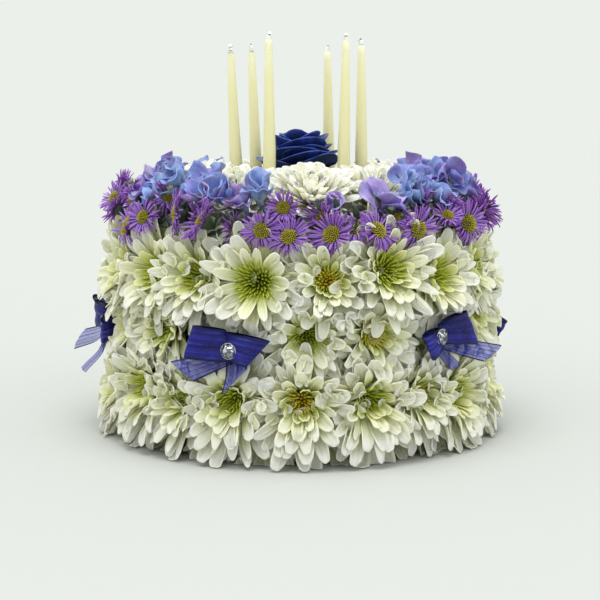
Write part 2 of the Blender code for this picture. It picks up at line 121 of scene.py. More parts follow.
# Azimuth of a bow, which shape it has, which way round it is, how far it flares outwards, and its height
BOWS = (
    (-76.5, "hanging", -1, 24.0, 0.0685),
    (-18.5, "even", 1, 16.0, 0.0655),
    (40.5, "turned", 1, 16.0, 0.0695),
    (96.5, "even", -1, 19.0, 0.0575),
    (158.0, "turned", -1, 18.0, 0.0655),
    (218.0, "even", 1, 16.0, 0.0655),
)


def outward(azimuth):
    """The horizontal direction at an azimuth in degrees; 0 is the front and 90 the right."""
    angle = math.radians(azimuth)
    return Vector((math.sin(angle), -math.cos(angle), 0.0))


def sideways(azimuth):
    angle = math.radians(azimuth)
    return Vector((math.cos(angle), math.sin(angle), 0.0))


def tilted(azimuth, tilt):
    angle = math.radians(tilt)
    return outward(azimuth) * math.cos(angle) + UP * math.sin(angle)


def place_at(azimuth, ring, height):
    return outward(azimuth) * ring + UP * height


def facing(spot, axis, twist):
    """Turns a shape modelled about local Z to face along the axis, and puts it in its place."""
    turn = axis.to_track_quat("Z", "Y").to_matrix().to_4x4()
    spin = Matrix.Rotation(2 * math.pi * twist, 4, "Z")
    return np.array(Matrix.Translation(spot) @ turn @ spin)


class Head:
    """One flower head: its node, place, outward axis, size and how it looks."""

    def __init__(self, node, spot, axis, radius, twist, eye="green"):
        self.node = node
        self.spot = spot
        self.axis = axis.normalized()
        self.radius = radius
        self.twist = twist
        self.eye = eye
        self.fall = 0.25
        self.trim = 0.0

    def matrix(self):
        return facing(self.spot, self.axis, self.twist)


def row_azimuths(front, count):
    rest = count - len(front)
    span = 360.0 - (front[-1] - front[0])
    return list(front) + [front[-1] + span * (i + 1) / (rest + 1) for i in range(rest)]


# How the blooms that the photograph shows stand: radius, azimuth and tilt of the axis, and eye
UPPER_LOOKS = {
    0: (0.0320, -45.0, 8.0, "green"),
    1: (0.0300, -26.0, 12.0, "green"),
    2: (0.0335, -8.0, 4.0, "deep"),
    3: (0.0285, 6.0, 10.0, "golden"),
    4: (0.0340, 24.0, 12.0, "green"),
    5: (0.0320, 42.0, 12.0, "green"),
}
MIDDLE_LOOKS = {
    0: (0.0310, -58.0, 2.0, "green"),
    1: (0.0310, -44.0, -2.0, "green"),
    2: (0.0285, 4.0, -6.0, "deep"),
    3: (0.0300, 20.0, -6.0, "golden"),
    4: (0.0310, 60.0, 0.0, "green"),
}
LOWER_LOOKS = {
    0: (0.0330, -50.0, -6.0, "green"),
    1: (0.0270, -34.0, -4.0, "green"),
    2: (0.0325, -22.0, -8.0, "green"),
    3: (0.0325, 0.0, -6.0, "golden"),
    4: (0.0330, 20.0, -6.0, "green"),
    5: (0.0265, 36.0, -4.0, "golden"),
    6: (0.0330, 50.0, -6.0, "green"),
}

# Blooms that stand deeper, behind the bows: azimuth, height, radius and tilt
DEEP_RING = 0.1020
DEEP_BLOOMS = (
    (-80.0, 0.0700, 0.0270, 0.0),
    (-18.5, 0.0690, 0.0280, -4.0),
    (42.5, 0.0700, 0.0280, -4.0),
    (101.0, 0.0700, 0.0270, 0.0),
    (158.0, 0.0700, 0.0270, 0.0),
    (218.0, 0.0700, 0.0270, 0.0),
)

# Blooms at the foot, in the gaps of the lower row
LOW_RING = 0.1040
LOW_HEIGHT = 0.0190
LOW_RADIUS = 0.0270
LOW_TILT = -12.0

# Blooms of the lower row that share a stem with the one before them
SHARED_LOWER = (*SMALL_LOWER, 3, 17)

# How far the top blooms are set down and tilted, and how near a sprig crowds them
TOP_DROP = 0.0110
TOP_TILT = 52.0
CROWDED_SPAN = 30.0

# Florets of a sprig: the ring and height of the outer ones, and the step to the inner ones
FLORET_RING = 0.096
FLORET_HEIGHT = 0.1480
FLORET_INNER = (0.012, 0.0050)


def dressed(head, looks, usual):
    """Gives a head the look that the photograph shows, or the usual size of its kind."""
    if looks is None:
        head.radius = usual * (0.95 + 0.1 * head.twist)
        head.eye = "golden" if head.twist > 0.72 else "green"
    else:
        head.radius, azimuth, tilt, head.eye = looks
        head.axis = tilted(azimuth, tilt)
    return head


def drawn_head(draw, node, azimuth, ring, level, stray, radius=0.0):
    """A head where its solid is, with the draws in the order in which the solids took them."""
    rises, turn, tilts, sizes = stray
    spot = place_at(azimuth, ring, level + draw.uniform(*rises))
    axis = tilted(azimuth + draw.uniform(-turn, turn), draw.uniform(*tilts))
    return Head(node, spot, axis, radius * draw.uniform(*sizes), draw.uniform(0, 1))


def nearest(heads, spot):
    return min(heads, key=lambda head: (head.spot - spot).length)


def side_heads(draw):
    """The upper row, the middle row, and the blooms that stand deeper."""
    ring = EYE_RADIUS - SINK
    upper = []
    for number, azimuth in enumerate(row_azimuths(UPPER_FRONT, ROW_COUNT)):
        head = drawn_head(draw, f"upper_mums_{number + 1:02d}", azimuth, ring, UPPER_HEIGHT, UPPER_STRAY)
        upper.append(dressed(head, UPPER_LOOKS.get(number), UPPER_SIZE))
    free = list(upper)
    middle = []
    for number, azimuth in enumerate(MIDDLE_AZIMUTHS):
        head = drawn_head(draw, "", azimuth, ring, MIDDLE_HEIGHT, MIDDLE_STRAY)
        above = nearest(free, head.spot)
        free.remove(above)
        head.node = above.node
        middle.append(dressed(head, MIDDLE_LOOKS.get(number), MIDDLE_SIZE))
    deep = []
    for number, (azimuth, height, radius, tilt) in enumerate(DEEP_BLOOMS):
        spot = place_at(azimuth, DEEP_RING, height)
        node = nearest(upper, spot).node
        deep.append(Head(node, spot, tilted(azimuth, tilt), radius, 0.13 * number))
    return upper + middle + deep


def lower_heads(draw):
    """The lower row, and a bloom at the foot in each of its gaps."""
    row = row_azimuths(LOWER_FRONT, ROW_COUNT)
    blooms = []
    stem = 0
    for number, azimuth in enumerate(row):
        stem += number not in SHARED_LOWER
        head = drawn_head(draw, f"lower_mums_{stem:02d}", azimuth, EYE_RADIUS, LOWER_HEIGHT, LOWER_STRAY)
        head.fall = 1.0
        usual = SMALL_SIZE if number in SMALL_LOWER else LOWER_SIZE
        blooms.append(dressed(head, LOWER_LOOKS.get(number), usual))
    low = []
    for number, (azimuth, following) in enumerate(zip(row, row[1:] + [row[0] + 360.0])):
        middle = (azimuth + following) / 2
        spot = place_at(middle, LOW_RING, LOW_HEIGHT)
        axis = tilted(middle, LOW_TILT)
        head = Head(blooms[number].node, spot, axis, LOW_RADIUS, 0.17 * number, "hidden")
        head.fall = 0.6
        low.append(head)
    return blooms + low


def top_heads(draw):
    heads = []
    for number, azimuth in enumerate(TOP_AZIMUTHS):
        node = f"top_mums_{number // TOP_PER_STEM + 1:02d}"
        ring = TOP_RING + draw.uniform(-0.001, 0.002)
        head = dressed(drawn_head(draw, node, azimuth, ring, TOP_EYE, TOP_STRAY), None, TOP_SIZE)
        head.eye = "none"
        head.spot.z -= TOP_DROP
        head.axis = tilted(azimuth + 16.0 * (head.twist - 0.5), TOP_TILT)
        gaps = [abs((azimuth - middle + 180) % 360 - 180) for middle, count in SPRIGS if count > 2]
        crowded = min(gaps) < CROWDED_SPAN
        head.trim = 0.38 if crowded else 0.05
        head.fall = 0.0 if crowded else 0.3
        heads.append(head)
    return heads


def aster_heads(draw):
    heads = []
    total = ASTER_SPRAYS * ASTERS_PER_SPRAY
    for number in range(total):
        azimuth = -61.0 + 360.0 * number / total + draw.uniform(-1.2, 1.2)
        node = f"aster_spray_{number // ASTERS_PER_SPRAY + 1:02d}"
        heads.append(drawn_head(draw, node, azimuth, ASTER_RING, ASTER_HEIGHT, ASTER_STRAY, ASTER_SIZE))
    return heads


def floret_heads(draw):
    heads = []
    for number, (middle, count) in enumerate(SPRIGS):
        node = f"delphinium_sprig_{number + 1:02d}"
        for index in range(count):
            azimuth = middle + (index - (count - 1) / 2) * FLORET_STEP
            inner = index % 2
            ring = FLORET_RING - FLORET_INNER[0] * inner + draw.uniform(-0.001, 0.001)
            level = FLORET_HEIGHT + FLORET_INNER[1] * inner
            heads.append(drawn_head(draw, node, azimuth, ring, level, FLORET_STRAY, FLORET_SIZE))
    return heads


def cake_heads():
    """All heads, drawn in the order in which the solids were, so that each has its own place."""
    draw = random.Random(7)
    return {
        "side": side_heads(draw),
        "lower": lower_heads(draw),
        "top": top_heads(draw),
        "aster": aster_heads(draw),
        "floret": floret_heads(draw),
    }


HEADS = cake_heads()


def scaled(colour, share):
    return tuple(min(1.0, value * share) for value in colour)


def by_node(heads):
    nodes = {}
    for head in heads:
        nodes.setdefault(head.node, []).append(head)
    return nodes


# Shader recipes

# Nearer the middle of the cake than this, a petal stands deep between the blooms and gets painted olive
# shade
PAINTED_SHADE_EDGE = 0.103


def math_step(operation, swapped=False):
    """A method that adds one Math node; swapped is for the reflected forms."""

    def step(field, other=0.0):
        first, second = (other, field) if swapped else (field, other)
        made = field.finish.node("ShaderNodeMath", {"operation": operation}, {0: first, 1: second})
        return Field(field.finish, made.outputs[0])

    return step


class Field:
    """A shader socket that takes part in arithmetic."""

    def __init__(self, finish, socket):
        self.finish = finish
        self.socket = socket

    __add__ = math_step("ADD")
    __radd__ = math_step("ADD")
    __sub__ = math_step("SUBTRACT")
    __rsub__ = math_step("SUBTRACT", swapped=True)
    __mul__ = math_step("MULTIPLY")
    __rmul__ = math_step("MULTIPLY")
    __pow__ = math_step("POWER")
    __abs__ = math_step("ABSOLUTE")
    sine = math_step("SINE")

    def clipped(self):
        made = self.finish.node("ShaderNodeClamp", {}, {"Value": self})
        return Field(self.finish, made.outputs[0])


class Finish:
    """One material: its nodes are added by these methods and feed one Principled surface."""

    def __init__(self, name, constants):
        self.material = bpy.data.materials.new(name)
        self.material.use_nodes = True
        self.tree = self.material.node_tree
        self.surface = self.tree.nodes["Principled BSDF"]
        for socket, value in constants.items():
            self.surface.inputs[socket].default_value = value

    def feed(self, socket, value):
        if isinstance(value, Field):
            self.tree.links.new(value.socket, socket)
        else:
            socket.default_value = value

    def node(self, kind, settings, values):
        made = self.tree.nodes.new(kind)
        for key, value in settings.items():
            if key == "stops":
                self.set_stops(made.color_ramp, value)
            else:
                setattr(made, key, value)
        for key, value in values.items():
            self.feed(made.inputs[key], value)
        return made

    @staticmethod
    def set_stops(ramp, stops):
        while len(ramp.elements) < len(stops):
            ramp.elements.new(0.5)
        for element, (position, colour) in zip(ramp.elements, stops):
            element.position = position
            element.color = (*colour, 1.0)

    def parted(self, vector):
        made = self.node("ShaderNodeSeparateXYZ", {}, {0: vector})
        return Field(self, made.outputs[0]), Field(self, made.outputs[1])

    def map_uv(self, name):
        """Both values of one of the piece's UV maps."""
        source = self.node("ShaderNodeUVMap", {"uv_map": name}, {})
        return self.parted(Field(self, source.outputs[0]))

    def petal_maps(self):
        """Where on a petal a point is, across and along, and the petal's own tone and layer."""
        return *self.map_uv("petal"), *self.map_uv("tone")

    def place(self):
        source = self.node("ShaderNodeTexCoord", {}, {})
        return Field(self, source.outputs["Object"])

    def from_axis(self):
        """How far the surface is from the upright line through the middle of the cake."""
        x, y = self.parted(self.place())
        return (x * x + y * y) ** 0.5

    def joined(self, x, y, z=0.0):
        made = self.node("ShaderNodeCombineXYZ", {}, {0: x, 1: y, 2: z})
        return Field(self, made.outputs[0])

    def noise(self, vector, scale, detail=2.0, rough=0.5):
        values = {"Vector": vector, "Scale": scale, "Detail": detail, "Roughness": rough}
        made = self.node("ShaderNodeTexNoise", {}, values)
        return Field(self, made.outputs[0])

    def ramp(self, factor, stops):
        made = self.node("ShaderNodeValToRGB", {"stops": stops}, {0: factor})
        return Field(self, made.outputs[0])

    def mix(self, factor, first, second, blend="MIX"):
        settings = {"data_type": "RGBA", "blend_type": blend}
        made = self.node("ShaderNodeMix", settings, {"Factor": factor})
        colours = [socket for socket in made.inputs if socket.type == "RGBA"]
        for socket, value in zip(colours, (first, second)):
            if isinstance(value, Field):
                self.feed(socket, value)
            else:
                socket.default_value = (*value, 1.0)
        output = [socket for socket in made.outputs if socket.type == "RGBA"][0]
        return Field(self, output)

    def bump(self, height, strength, distance):
        values = {"Height": height, "Strength": strength, "Distance": distance}
        made = self.node("ShaderNodeBump", {}, values)
        self.feed(self.surface.inputs["Normal"], Field(self, made.outputs[0]))

    def colour(self, value):
        self.feed(self.surface.inputs["Base Color"], value)

    def rough(self, value):
        self.feed(self.surface.inputs["Roughness"], value)

    def alpha(self, value):
        self.feed(self.surface.inputs["Alpha"], value)


def chrysanthemum_finish(name, tip, middle, base, reach, depth, soft):
    """Petals that go from green at the eye to cream at the tip, with fine veins along them.

    depth is how strongly painted olive shade darkens them where they stand deep between the blooms,
    and soft is how much light goes through them.
    """
    constants = {
        "Subsurface Weight": soft,
        "Subsurface Scale": 0.005,
        "Subsurface Radius": (1.0, 0.95, 0.45),
        "Specular IOR Level": 0.25,
    }
    finish = Finish(name, constants)
    across, along, tone, layer = finish.petal_maps()
    cloud = finish.noise(finish.place(), 160.0, 2.0)
    veins = finish.noise(finish.joined(across * 15.0 + tone * 40.0, along * 1.3, tone * 9.0), 1.0, 2.0)
    pale = along * (0.50 + 0.50 * layer) + layer * 0.16 - reach
    pale = pale + (veins - 0.5) * 0.3 + (cloud - 0.5) * 0.3
    stops = ((0.0, base), (0.26, middle[0]), (0.58, middle[1]), (0.94, tip))
    shade = finish.ramp(pale.clipped(), stops)
    worn = finish.mix((tone * 0.5).clipped(), shade, (0.84, 0.85, 0.74), "MULTIPLY")
    veined = finish.mix(((veins - 0.42) * 0.9).clipped() * 0.6, worn, middle[1])
    # Painted shade: petals near the middle of the cake, deep between the blooms, are darkened towards olive
    deep = (1.0 - (finish.from_axis() - PAINTED_SHADE_EDGE) * 62.0).clipped() * depth
    finish.colour(finish.mix(deep, veined, (0.40, 0.45, 0.14), "MULTIPLY"))
    ridges = (across * 20.0).sine() * 0.4 + veins
    finish.bump(ridges, 0.5 * (1.0 - soft), 0.0006)
    finish.rough(0.50 + (cloud - 0.5) * 0.2)
    return finish.material


def eye_finish(name, core, ring, rim):
    """The small fingers of a bloom's eye: dark in the middle, brighter to the rim and the tips."""
    finish = Finish(name, {"Subsurface Weight": 0.1, "Subsurface Scale": 0.002})
    across, along, tone, layer = finish.petal_maps()
    place = layer * 0.62 + along * 0.50 - 0.15 + (tone - 0.5) * 0.25
    finish.colour(finish.ramp(place.clipped(), ((0.05, core), (0.40, ring), (0.85, rim))))
    finish.bump(finish.noise(finish.place(), 900.0), 0.3, 0.0003)
    finish.rough(0.5 + (across - 0.5) * 0.1)
    return finish.material


def leaf_finish(name, dark, light):
    finish = Finish(name, {"Subsurface Weight": 0.08, "Subsurface Scale": 0.002})
    cloud = finish.noise(finish.place(), 220.0, 4.0, 0.6)
    finish.colour(finish.mix(cloud.clipped(), dark, light))
    finish.bump(cloud, 0.4, 0.0006)
    finish.rough(0.55 + (cloud - 0.5) * 0.3)
    return finish.material


def aster_finish(colour):
    finish = Finish("Aster petals", {"Subsurface Weight": 0.12, "Subsurface Scale": 0.002})
    across, along, tone, layer = finish.petal_maps()
    veins = finish.noise(finish.joined(across * 7.0 + tone * 30.0, along * 1.2), 1.0)
    pale = (0.37, 0.145, 0.63)
    stops = ((0.05, scaled(colour, 0.32)), (0.45, colour), (1.0, pale))
    shade = finish.ramp((along * 0.50 + veins * 0.40 + tone * 0.35 - 0.08).clipped(), stops)
    finish.colour(finish.mix(layer * 0.20, shade, (0.60, 0.46, 0.84)))
    finish.bump((across * 12.0).sine() + veins, 0.3, 0.0003)
    finish.rough(0.5 + (veins - 0.5) * 0.2)
    return finish.material


def delphinium_finish(colour):
    """Sky blue to lavender, paler at the root, with darker veins and a green mark at some tips."""
    finish = Finish("Delphinium petals", {"Subsurface Weight": 0.22, "Subsurface Scale": 0.003})
    across, along, tone, layer = finish.petal_maps()
    place = finish.place()
    cloud = finish.noise(place, 95.0, 3.0)
    veins = finish.noise(finish.joined(across * 11.0 + tone * 30.0, along * 1.6, tone * 7.0), 1.0, 3.0)
    blend = (cloud * 1.4 - 0.47 + (tone - 0.5) * 1.3 + (along - 0.5) * 0.3).clipped()
    violet = (0.22, 0.19, 0.54)
    lavender = (0.44, 0.37, 0.70)
    stops = ((0.0, (0.23, 0.35, 0.66)), (0.34, colour), (0.66, violet), (1.0, lavender))
    shade = finish.ramp(blend, stops)
    pale = finish.mix((1.0 - along * 2.0).clipped() * 0.75, shade, (0.64, 0.74, 0.80))
    veined = finish.mix(((veins - 0.46) * 1.5).clipped() * 0.6, pale, (0.10, 0.12, 0.42))
    middle = 1.0 - abs(across - 0.5) * 4.0
    spot = (middle.clipped() * ((along - 0.80) * 9.0).clipped() * (layer * 1.6 - 0.2).clipped()).clipped()
    finish.colour(finish.mix(spot * 0.85, veined, (0.22, 0.30, 0.16)))
    finish.bump(veins + cloud, 0.4, 0.0009)
    finish.rough(0.50 + (cloud - 0.5) * 0.2)
    return finish.material


# Where along a rose petal its painted shade and painted highlight are, and how bright: painted shade at the
# root, a painted highlight at the rim
ROSE_PAINTED_SHADE_AND_HIGHLIGHT = ((0.1, 0.20), (0.55, 0.7), (0.78, 1.8), (1.0, 6.0))


def rose_finish(colour):
    """Dyed petals with a satin face, in painted shade towards the root and brightest at the rims in a
    painted highlight.
    """
    tint = (0.20, 0.32, 0.85, 1.0)
    constants = {"Sheen Weight": 0.5, "Sheen Roughness": 0.35, "Sheen Tint": tint}
    finish = Finish("Rose petals", constants)
    across, along, tone, layer = finish.petal_maps()
    cloud = finish.noise(finish.place(), 140.0, 3.0)
    veins = finish.noise(finish.joined(across * 18.0 + tone * 20.0, along * 2.5), 1.0, 3.0)
    # Painted light: darker towards each petal's root in painted shade and bright at the rims in a painted
    # highlight, with veins and clouds mixed in
    shine = along * 0.7 + veins * 0.3 + (cloud - 0.5) * 0.4
    stops = tuple((place, scaled(colour, share)) for place, share in ROSE_PAINTED_SHADE_AND_HIGHLIGHT)
    finish.colour(finish.ramp(shine.clipped(), stops))
    finish.bump(veins + cloud * 0.5, 0.35, 0.0007)
    finish.rough(0.30 + (cloud - 0.5) * 0.25 + layer * 0.05)
    return finish.material


def wax_finish(colour):
    constants = {
        "Subsurface Weight": 0.35,
        "Subsurface Scale": 0.006,
        "Subsurface Radius": (1.0, 0.8, 0.4),
        "Coat Weight": 0.2,
        "Coat Roughness": 0.3,
    }
    finish = Finish("Candle wax", constants)
    around, up = finish.map_uv("petal")
    cloud = finish.noise(finish.place(), 60.0, 3.0)
    streak = finish.noise(finish.joined(around * 9.0, up * 60.0), 1.0, 2.0)
    stops = ((0.0, scaled(colour, 0.90)), (0.70, colour), (1.0, (0.90, 0.88, 0.66)))
    shade = finish.ramp((up + (cloud - 0.5) * 0.3).clipped(), stops)
    finish.colour(finish.mix(streak * 0.12, shade, (0.93, 0.91, 0.74)))
    finish.bump(streak + cloud, 0.12, 0.0005)
    finish.rough(0.36 + (streak - 0.5) * 0.2)
    return finish.material


def wick_finish():
    finish = Finish("Waxed wick", {"Roughness": 0.7})
    cloud = finish.noise(finish.place(), 900.0, 2.0)
    finish.colour(finish.mix(cloud.clipped(), (0.86, 0.85, 0.78), (0.94, 0.94, 0.90)))
    finish.bump(cloud, 0.4, 0.0003)
    return finish.material


# Heavier lines across the ribbon, and its fine threads for each metre
RIBBON_LINES = 5.0
RIBBON_THREADS = 900.0


def organza_finish(colour):
    """Sheer woven ribbon: fine threads along and across it, and a solid thread at each edge."""
    constants = {
        "Sheen Weight": 0.05,
        "Sheen Roughness": 0.3,
        "Sheen Tint": (0.35, 0.42, 0.95, 1.0),
        "Roughness": 0.40,
        "Specular IOR Level": 0.3,
    }
    finish = Finish("Organza ribbon", constants)
    across, along = finish.map_uv("ribbon")
    fullness, crease = finish.map_uv("fold")
    lengthwise = abs((across * math.pi * RIBBON_LINES).sine())
    crosswise = abs((along * math.pi * RIBBON_THREADS).sine())
    streak = finish.noise(finish.joined(across * 11.0, along * 9.0), 1.0, 3.0)
    patch = finish.noise(finish.place(), 70.0, 2.0)
    weave = (lengthwise * 0.8 + crosswise * 0.2).clipped()
    line = (1.0 - lengthwise * 2.6).clipped()
    edge = ((abs(across - 0.5) - 0.432) * 60.0).clipped()
    stops = ((0.0, scaled(colour, 0.20)), (0.55, colour), (1.0, (0.075, 0.090, 0.54)))
    light = weave * 0.34 + (streak - 0.5) * 1.9 + (patch - 0.5) * 1.8 + 0.34 - fullness * 0.14
    shade = finish.ramp(light.clipped(), stops)
    sheer = finish.mix((1.0 - fullness) * 0.55, shade, (0.075, 0.090, 0.60))
    lined = finish.mix(line * 0.8, sheer, (0.004, 0.004, 0.09))
    # Painted shade: the ribbon darkens towards the pin, where it creases
    shaded = finish.mix(crease * 0.8, lined, (0.005, 0.005, 0.10))
    finish.colour(finish.mix(edge, shaded, (0.002, 0.002, 0.04)))
    finish.alpha((0.40 + fullness * 0.38 + line * 0.32 + (0.5 - streak) * 0.6 + edge * 0.8).clipped())
    finish.bump(weave + streak, 0.4, 0.0003)
    return finish.material


def foam_finish():
    finish = Finish("Floral foam", {"Roughness": 0.92})
    cells = finish.noise(finish.place(), 700.0, 4.0, 0.7)
    damp = finish.noise(finish.place(), 40.0, 2.0)
    shade = finish.mix(cells.clipped(), (0.030, 0.060, 0.016), (0.10, 0.17, 0.05))
    finish.colour(finish.mix(damp * 0.5, shade, (0.020, 0.035, 0.012)))
    finish.bump(cells, 0.7, 0.0010)
    return finish.material


def floor_finish(colour):
    finish = Finish("Pale floor", {"Roughness": 0.6, "Specular IOR Level": 0.0})
    cloud = finish.noise(finish.place(), 4.0, 2.0)
    finish.colour(finish.mix(cloud * 0.3, colour, scaled(colour, 0.985)))
    return finish.material


# Modelling


def clear_choice():
    """Nothing selected and nothing in edit mode, ready for the next operator."""
    if bpy.context.object and bpy.context.object.mode != "OBJECT":
        bpy.ops.object.mode_set(mode="OBJECT")
    bpy.ops.object.select_all(action="DESELECT")


def edit_all():
    """Edit mode with the whole of the active piece selected."""
    bpy.ops.object.mode_set(mode="EDIT")
    bpy.ops.mesh.select_all(action="SELECT")


def choose(piece):
    clear_choice()
    piece.select_set(True)
    bpy.context.view_layer.objects.active = piece


def apply_modifier(piece, kind, **settings):
    """Adds a modifier to a piece and applies it."""
    choose(piece)
    modifier = piece.modifiers.new(kind.title(), kind)
    for key, value in settings.items():
        setattr(modifier, key, value)
    bpy.ops.object.modifier_apply(modifier=modifier.name)


# Outlines of the flat petals: how far along, and the half width there
PETAL_OUTLINE = (
    (0.0, 0.36), (0.16, 0.52), (0.38, 0.78), (0.58, 0.95),
    (0.76, 1.0), (0.89, 0.86), (0.97, 0.58), (1.0, 0.26),
)
SLIM_OUTLINE = (
    (0.0, 0.30), (0.16, 0.44), (0.38, 0.66), (0.58, 0.80),
    (0.76, 0.76), (0.89, 0.56), (0.97, 0.30), (1.0, 0.10),
)
RAY_OUTLINE = ((0.0, 0.5), (0.25, 0.85), (0.55, 1.0), (0.80, 0.85), (0.94, 0.5), (1.0, 0.15))
SEPAL_OUTLINE = (
    (0.0, 0.22), (0.14, 0.50), (0.30, 0.80), (0.46, 0.97), (0.62, 1.0),
    (0.77, 0.88), (0.89, 0.62), (0.96, 0.34), (1.0, 0.12),
)
ROSE_OUTLINE = (
    (0.0, 0.45), (0.14, 0.66), (0.30, 0.86), (0.46, 0.97), (0.62, 1.0),
    (0.76, 0.98), (0.87, 0.92), (0.94, 0.80), (0.98, 0.62), (1.0, 0.40),
)
LEAF_OUTLINE = ((0.0, 0.15), (0.2, 0.65), (0.4, 1.0), (0.6, 0.92), (0.8, 0.55), (1.0, 0.06))


class Blank:
    """A small flat or round shape that is copied many times: its points, faces and UVs."""

    def __init__(self, piece, closed=False):
        self.closed = closed
        mesh = piece.data
        self.points = np.empty(len(mesh.vertices) * 3)
        mesh.vertices.foreach_get("co", self.points)
        self.points = self.points.reshape(-1, 3)
        self.corners = np.empty(len(mesh.loops), dtype=np.int32)
        mesh.loops.foreach_get("vertex_index", self.corners)
        self.sizes = np.empty(len(mesh.polygons), dtype=np.int32)
        mesh.polygons.foreach_get("loop_total", self.sizes)
        self.uv = np.empty(len(mesh.loops) * 2)
        mesh.uv_layers.active.data.foreach_get("uv", self.uv)
        self.uv = self.uv.reshape(-1, 2)
        bpy.data.objects.remove(piece)


# Rows of a blank that are set wait this far off, so that they are not chosen again
PARKED = 3.0


def petal_blank(columns, outline):
    """A grid one long and two wide, its rows set to the outline: (how far along, half width)."""
    rows = len(outline) - 1
    clear_choice()
    bpy.ops.mesh.primitive_grid_add(
        x_subdivisions=columns, y_subdivisions=rows, size=2.0, calc_uvs=True, location=(0.0, 0.0, 0.0)
    )
    piece = bpy.context.object
    bpy.ops.object.mode_set(mode="EDIT")
    bpy.ops.mesh.select_all(action="DESELECT")
    bpy.ops.object.mode_set(mode="OBJECT")
    for row, (place, width) in enumerate(outline):
        level = -1.0 + 2.0 * row / rows
        for vertex in piece.data.vertices:
            vertex.select = abs(vertex.co.y - level) < 0.001
        bpy.ops.object.mode_set(mode="EDIT")
        bpy.ops.transform.resize(value=(width, 1.0, 1.0), center_override=(0.0, level, 0.0))
        bpy.ops.transform.translate(value=(0.0, place - level + PARKED, 0.0))
        bpy.ops.mesh.select_all(action="DESELECT")
        bpy.ops.object.mode_set(mode="OBJECT")
    edit_all()
    bpy.ops.transform.translate(value=(0.0, -PARKED, 0.0))
    bpy.ops.object.mode_set(mode="OBJECT")
    mesh = piece.data
    for loop, value in zip(mesh.loops, mesh.uv_layers.active.data):
        value.uv.y = mesh.vertices[loop.vertex_index].co.y
    return Blank(piece)


def finger_blank(sides=5):
    """A small round-ended finger, one long, for the eye of a bloom."""
    clear_choice()
    bpy.ops.mesh.primitive_cone_add(
        vertices=sides, radius1=0.75, radius2=0.35, depth=1.0, end_fill_type="TRIFAN",
        location=(0.0, 0.0, 0.5), calc_uvs=True,
    )
    piece = bpy.context.object
    edit_all()
    bpy.ops.transform.translate(value=(0.0, 0.0, 0.5))
    belly = (0.0, 0.0, 0.6)
    bpy.ops.mesh.bisect(plane_co=belly, plane_no=(0.0, 0.0, 1.0))
    bpy.ops.transform.resize(value=(1.45, 1.45, 1.0), center_override=belly)
    bpy.ops.object.mode_set(mode="OBJECT")
    for vertex in piece.data.vertices:
        if vertex.co.z > 0.99 and abs(vertex.co.x) + abs(vertex.co.y) < 0.01:
            vertex.co.z = 1.12
    height = piece.data.uv_layers.active.data
    for loop in piece.data.loops:
        height[loop.index].uv = (0.5, piece.data.vertices[loop.vertex_index].co.z)
    return Blank(piece, closed=True)


class Bunch:
    """Copies of blanks, gathered and then made one piece."""

    def __init__(self):
        self.parts = []

    def add(self, blank, points, tone, layer, slot):
        self.parts.append((blank, points, (tone, layer), slot))

    def piece(self, name, materials, thickness=0.0):
        """Petals get their thickness, and closed shapes stay as they are."""
        solid = self.mesh_of(name, [part for part in self.parts if part[0].closed], materials)
        petals = [part for part in self.parts if not part[0].closed]
        if not petals:
            return solid
        made = self.mesh_of(name, petals, materials)
        apply_modifier(made, "SOLIDIFY", thickness=thickness, offset=0.0)
        if solid:
            solid.select_set(True)
            bpy.ops.object.join()
        made.name = name
        return made

    def mesh_of(self, name, parts, materials):
        if not parts:
            return None
        starts = np.cumsum([0] + [len(points) for _, points, _, _ in parts])
        points = np.concatenate([points for _, points, _, _ in parts])
        corners = np.concatenate([part[0].corners + start for part, start in zip(parts, starts)])
        sizes = np.concatenate([blank.sizes for blank, _, _, _ in parts])
        tones = np.concatenate([np.tile(tone, (len(blank.corners), 1)) for blank, _, tone, _ in parts])
        slots = np.concatenate([np.full(len(blank.sizes), slot) for blank, _, _, slot in parts])
        mesh = bpy.data.meshes.new(name)
        mesh.vertices.add(len(points))
        mesh.vertices.foreach_set("co", points.ravel())
        mesh.loops.add(len(corners))
        mesh.loops.foreach_set("vertex_index", corners)
        mesh.polygons.add(len(sizes))
        mesh.polygons.foreach_set("loop_start", (np.cumsum(sizes) - sizes).astype(np.int32))
        mesh.polygons.foreach_set("material_index", slots.astype(np.int32))
        mesh.polygons.foreach_set("use_smooth", np.ones(len(sizes), dtype=bool))
        mesh.update(calc_edges=True)
        for label, values in (("petal", np.concatenate([part[0].uv for part in parts])), ("tone", tones)):
            mesh.uv_layers.new(name=label).data.foreach_set("uv", values.astype(np.float32).ravel())
        mesh.validate()
        made = linked(name, mesh)
        for material in materials:
            mesh.materials.append(material)
        return made


def linked(name, data):
    """A new object in the scene for a mesh, a lamp or a camera."""
    made = bpy.data.objects.new(name, data)
    bpy.context.scene.collection.objects.link(made)
    return made


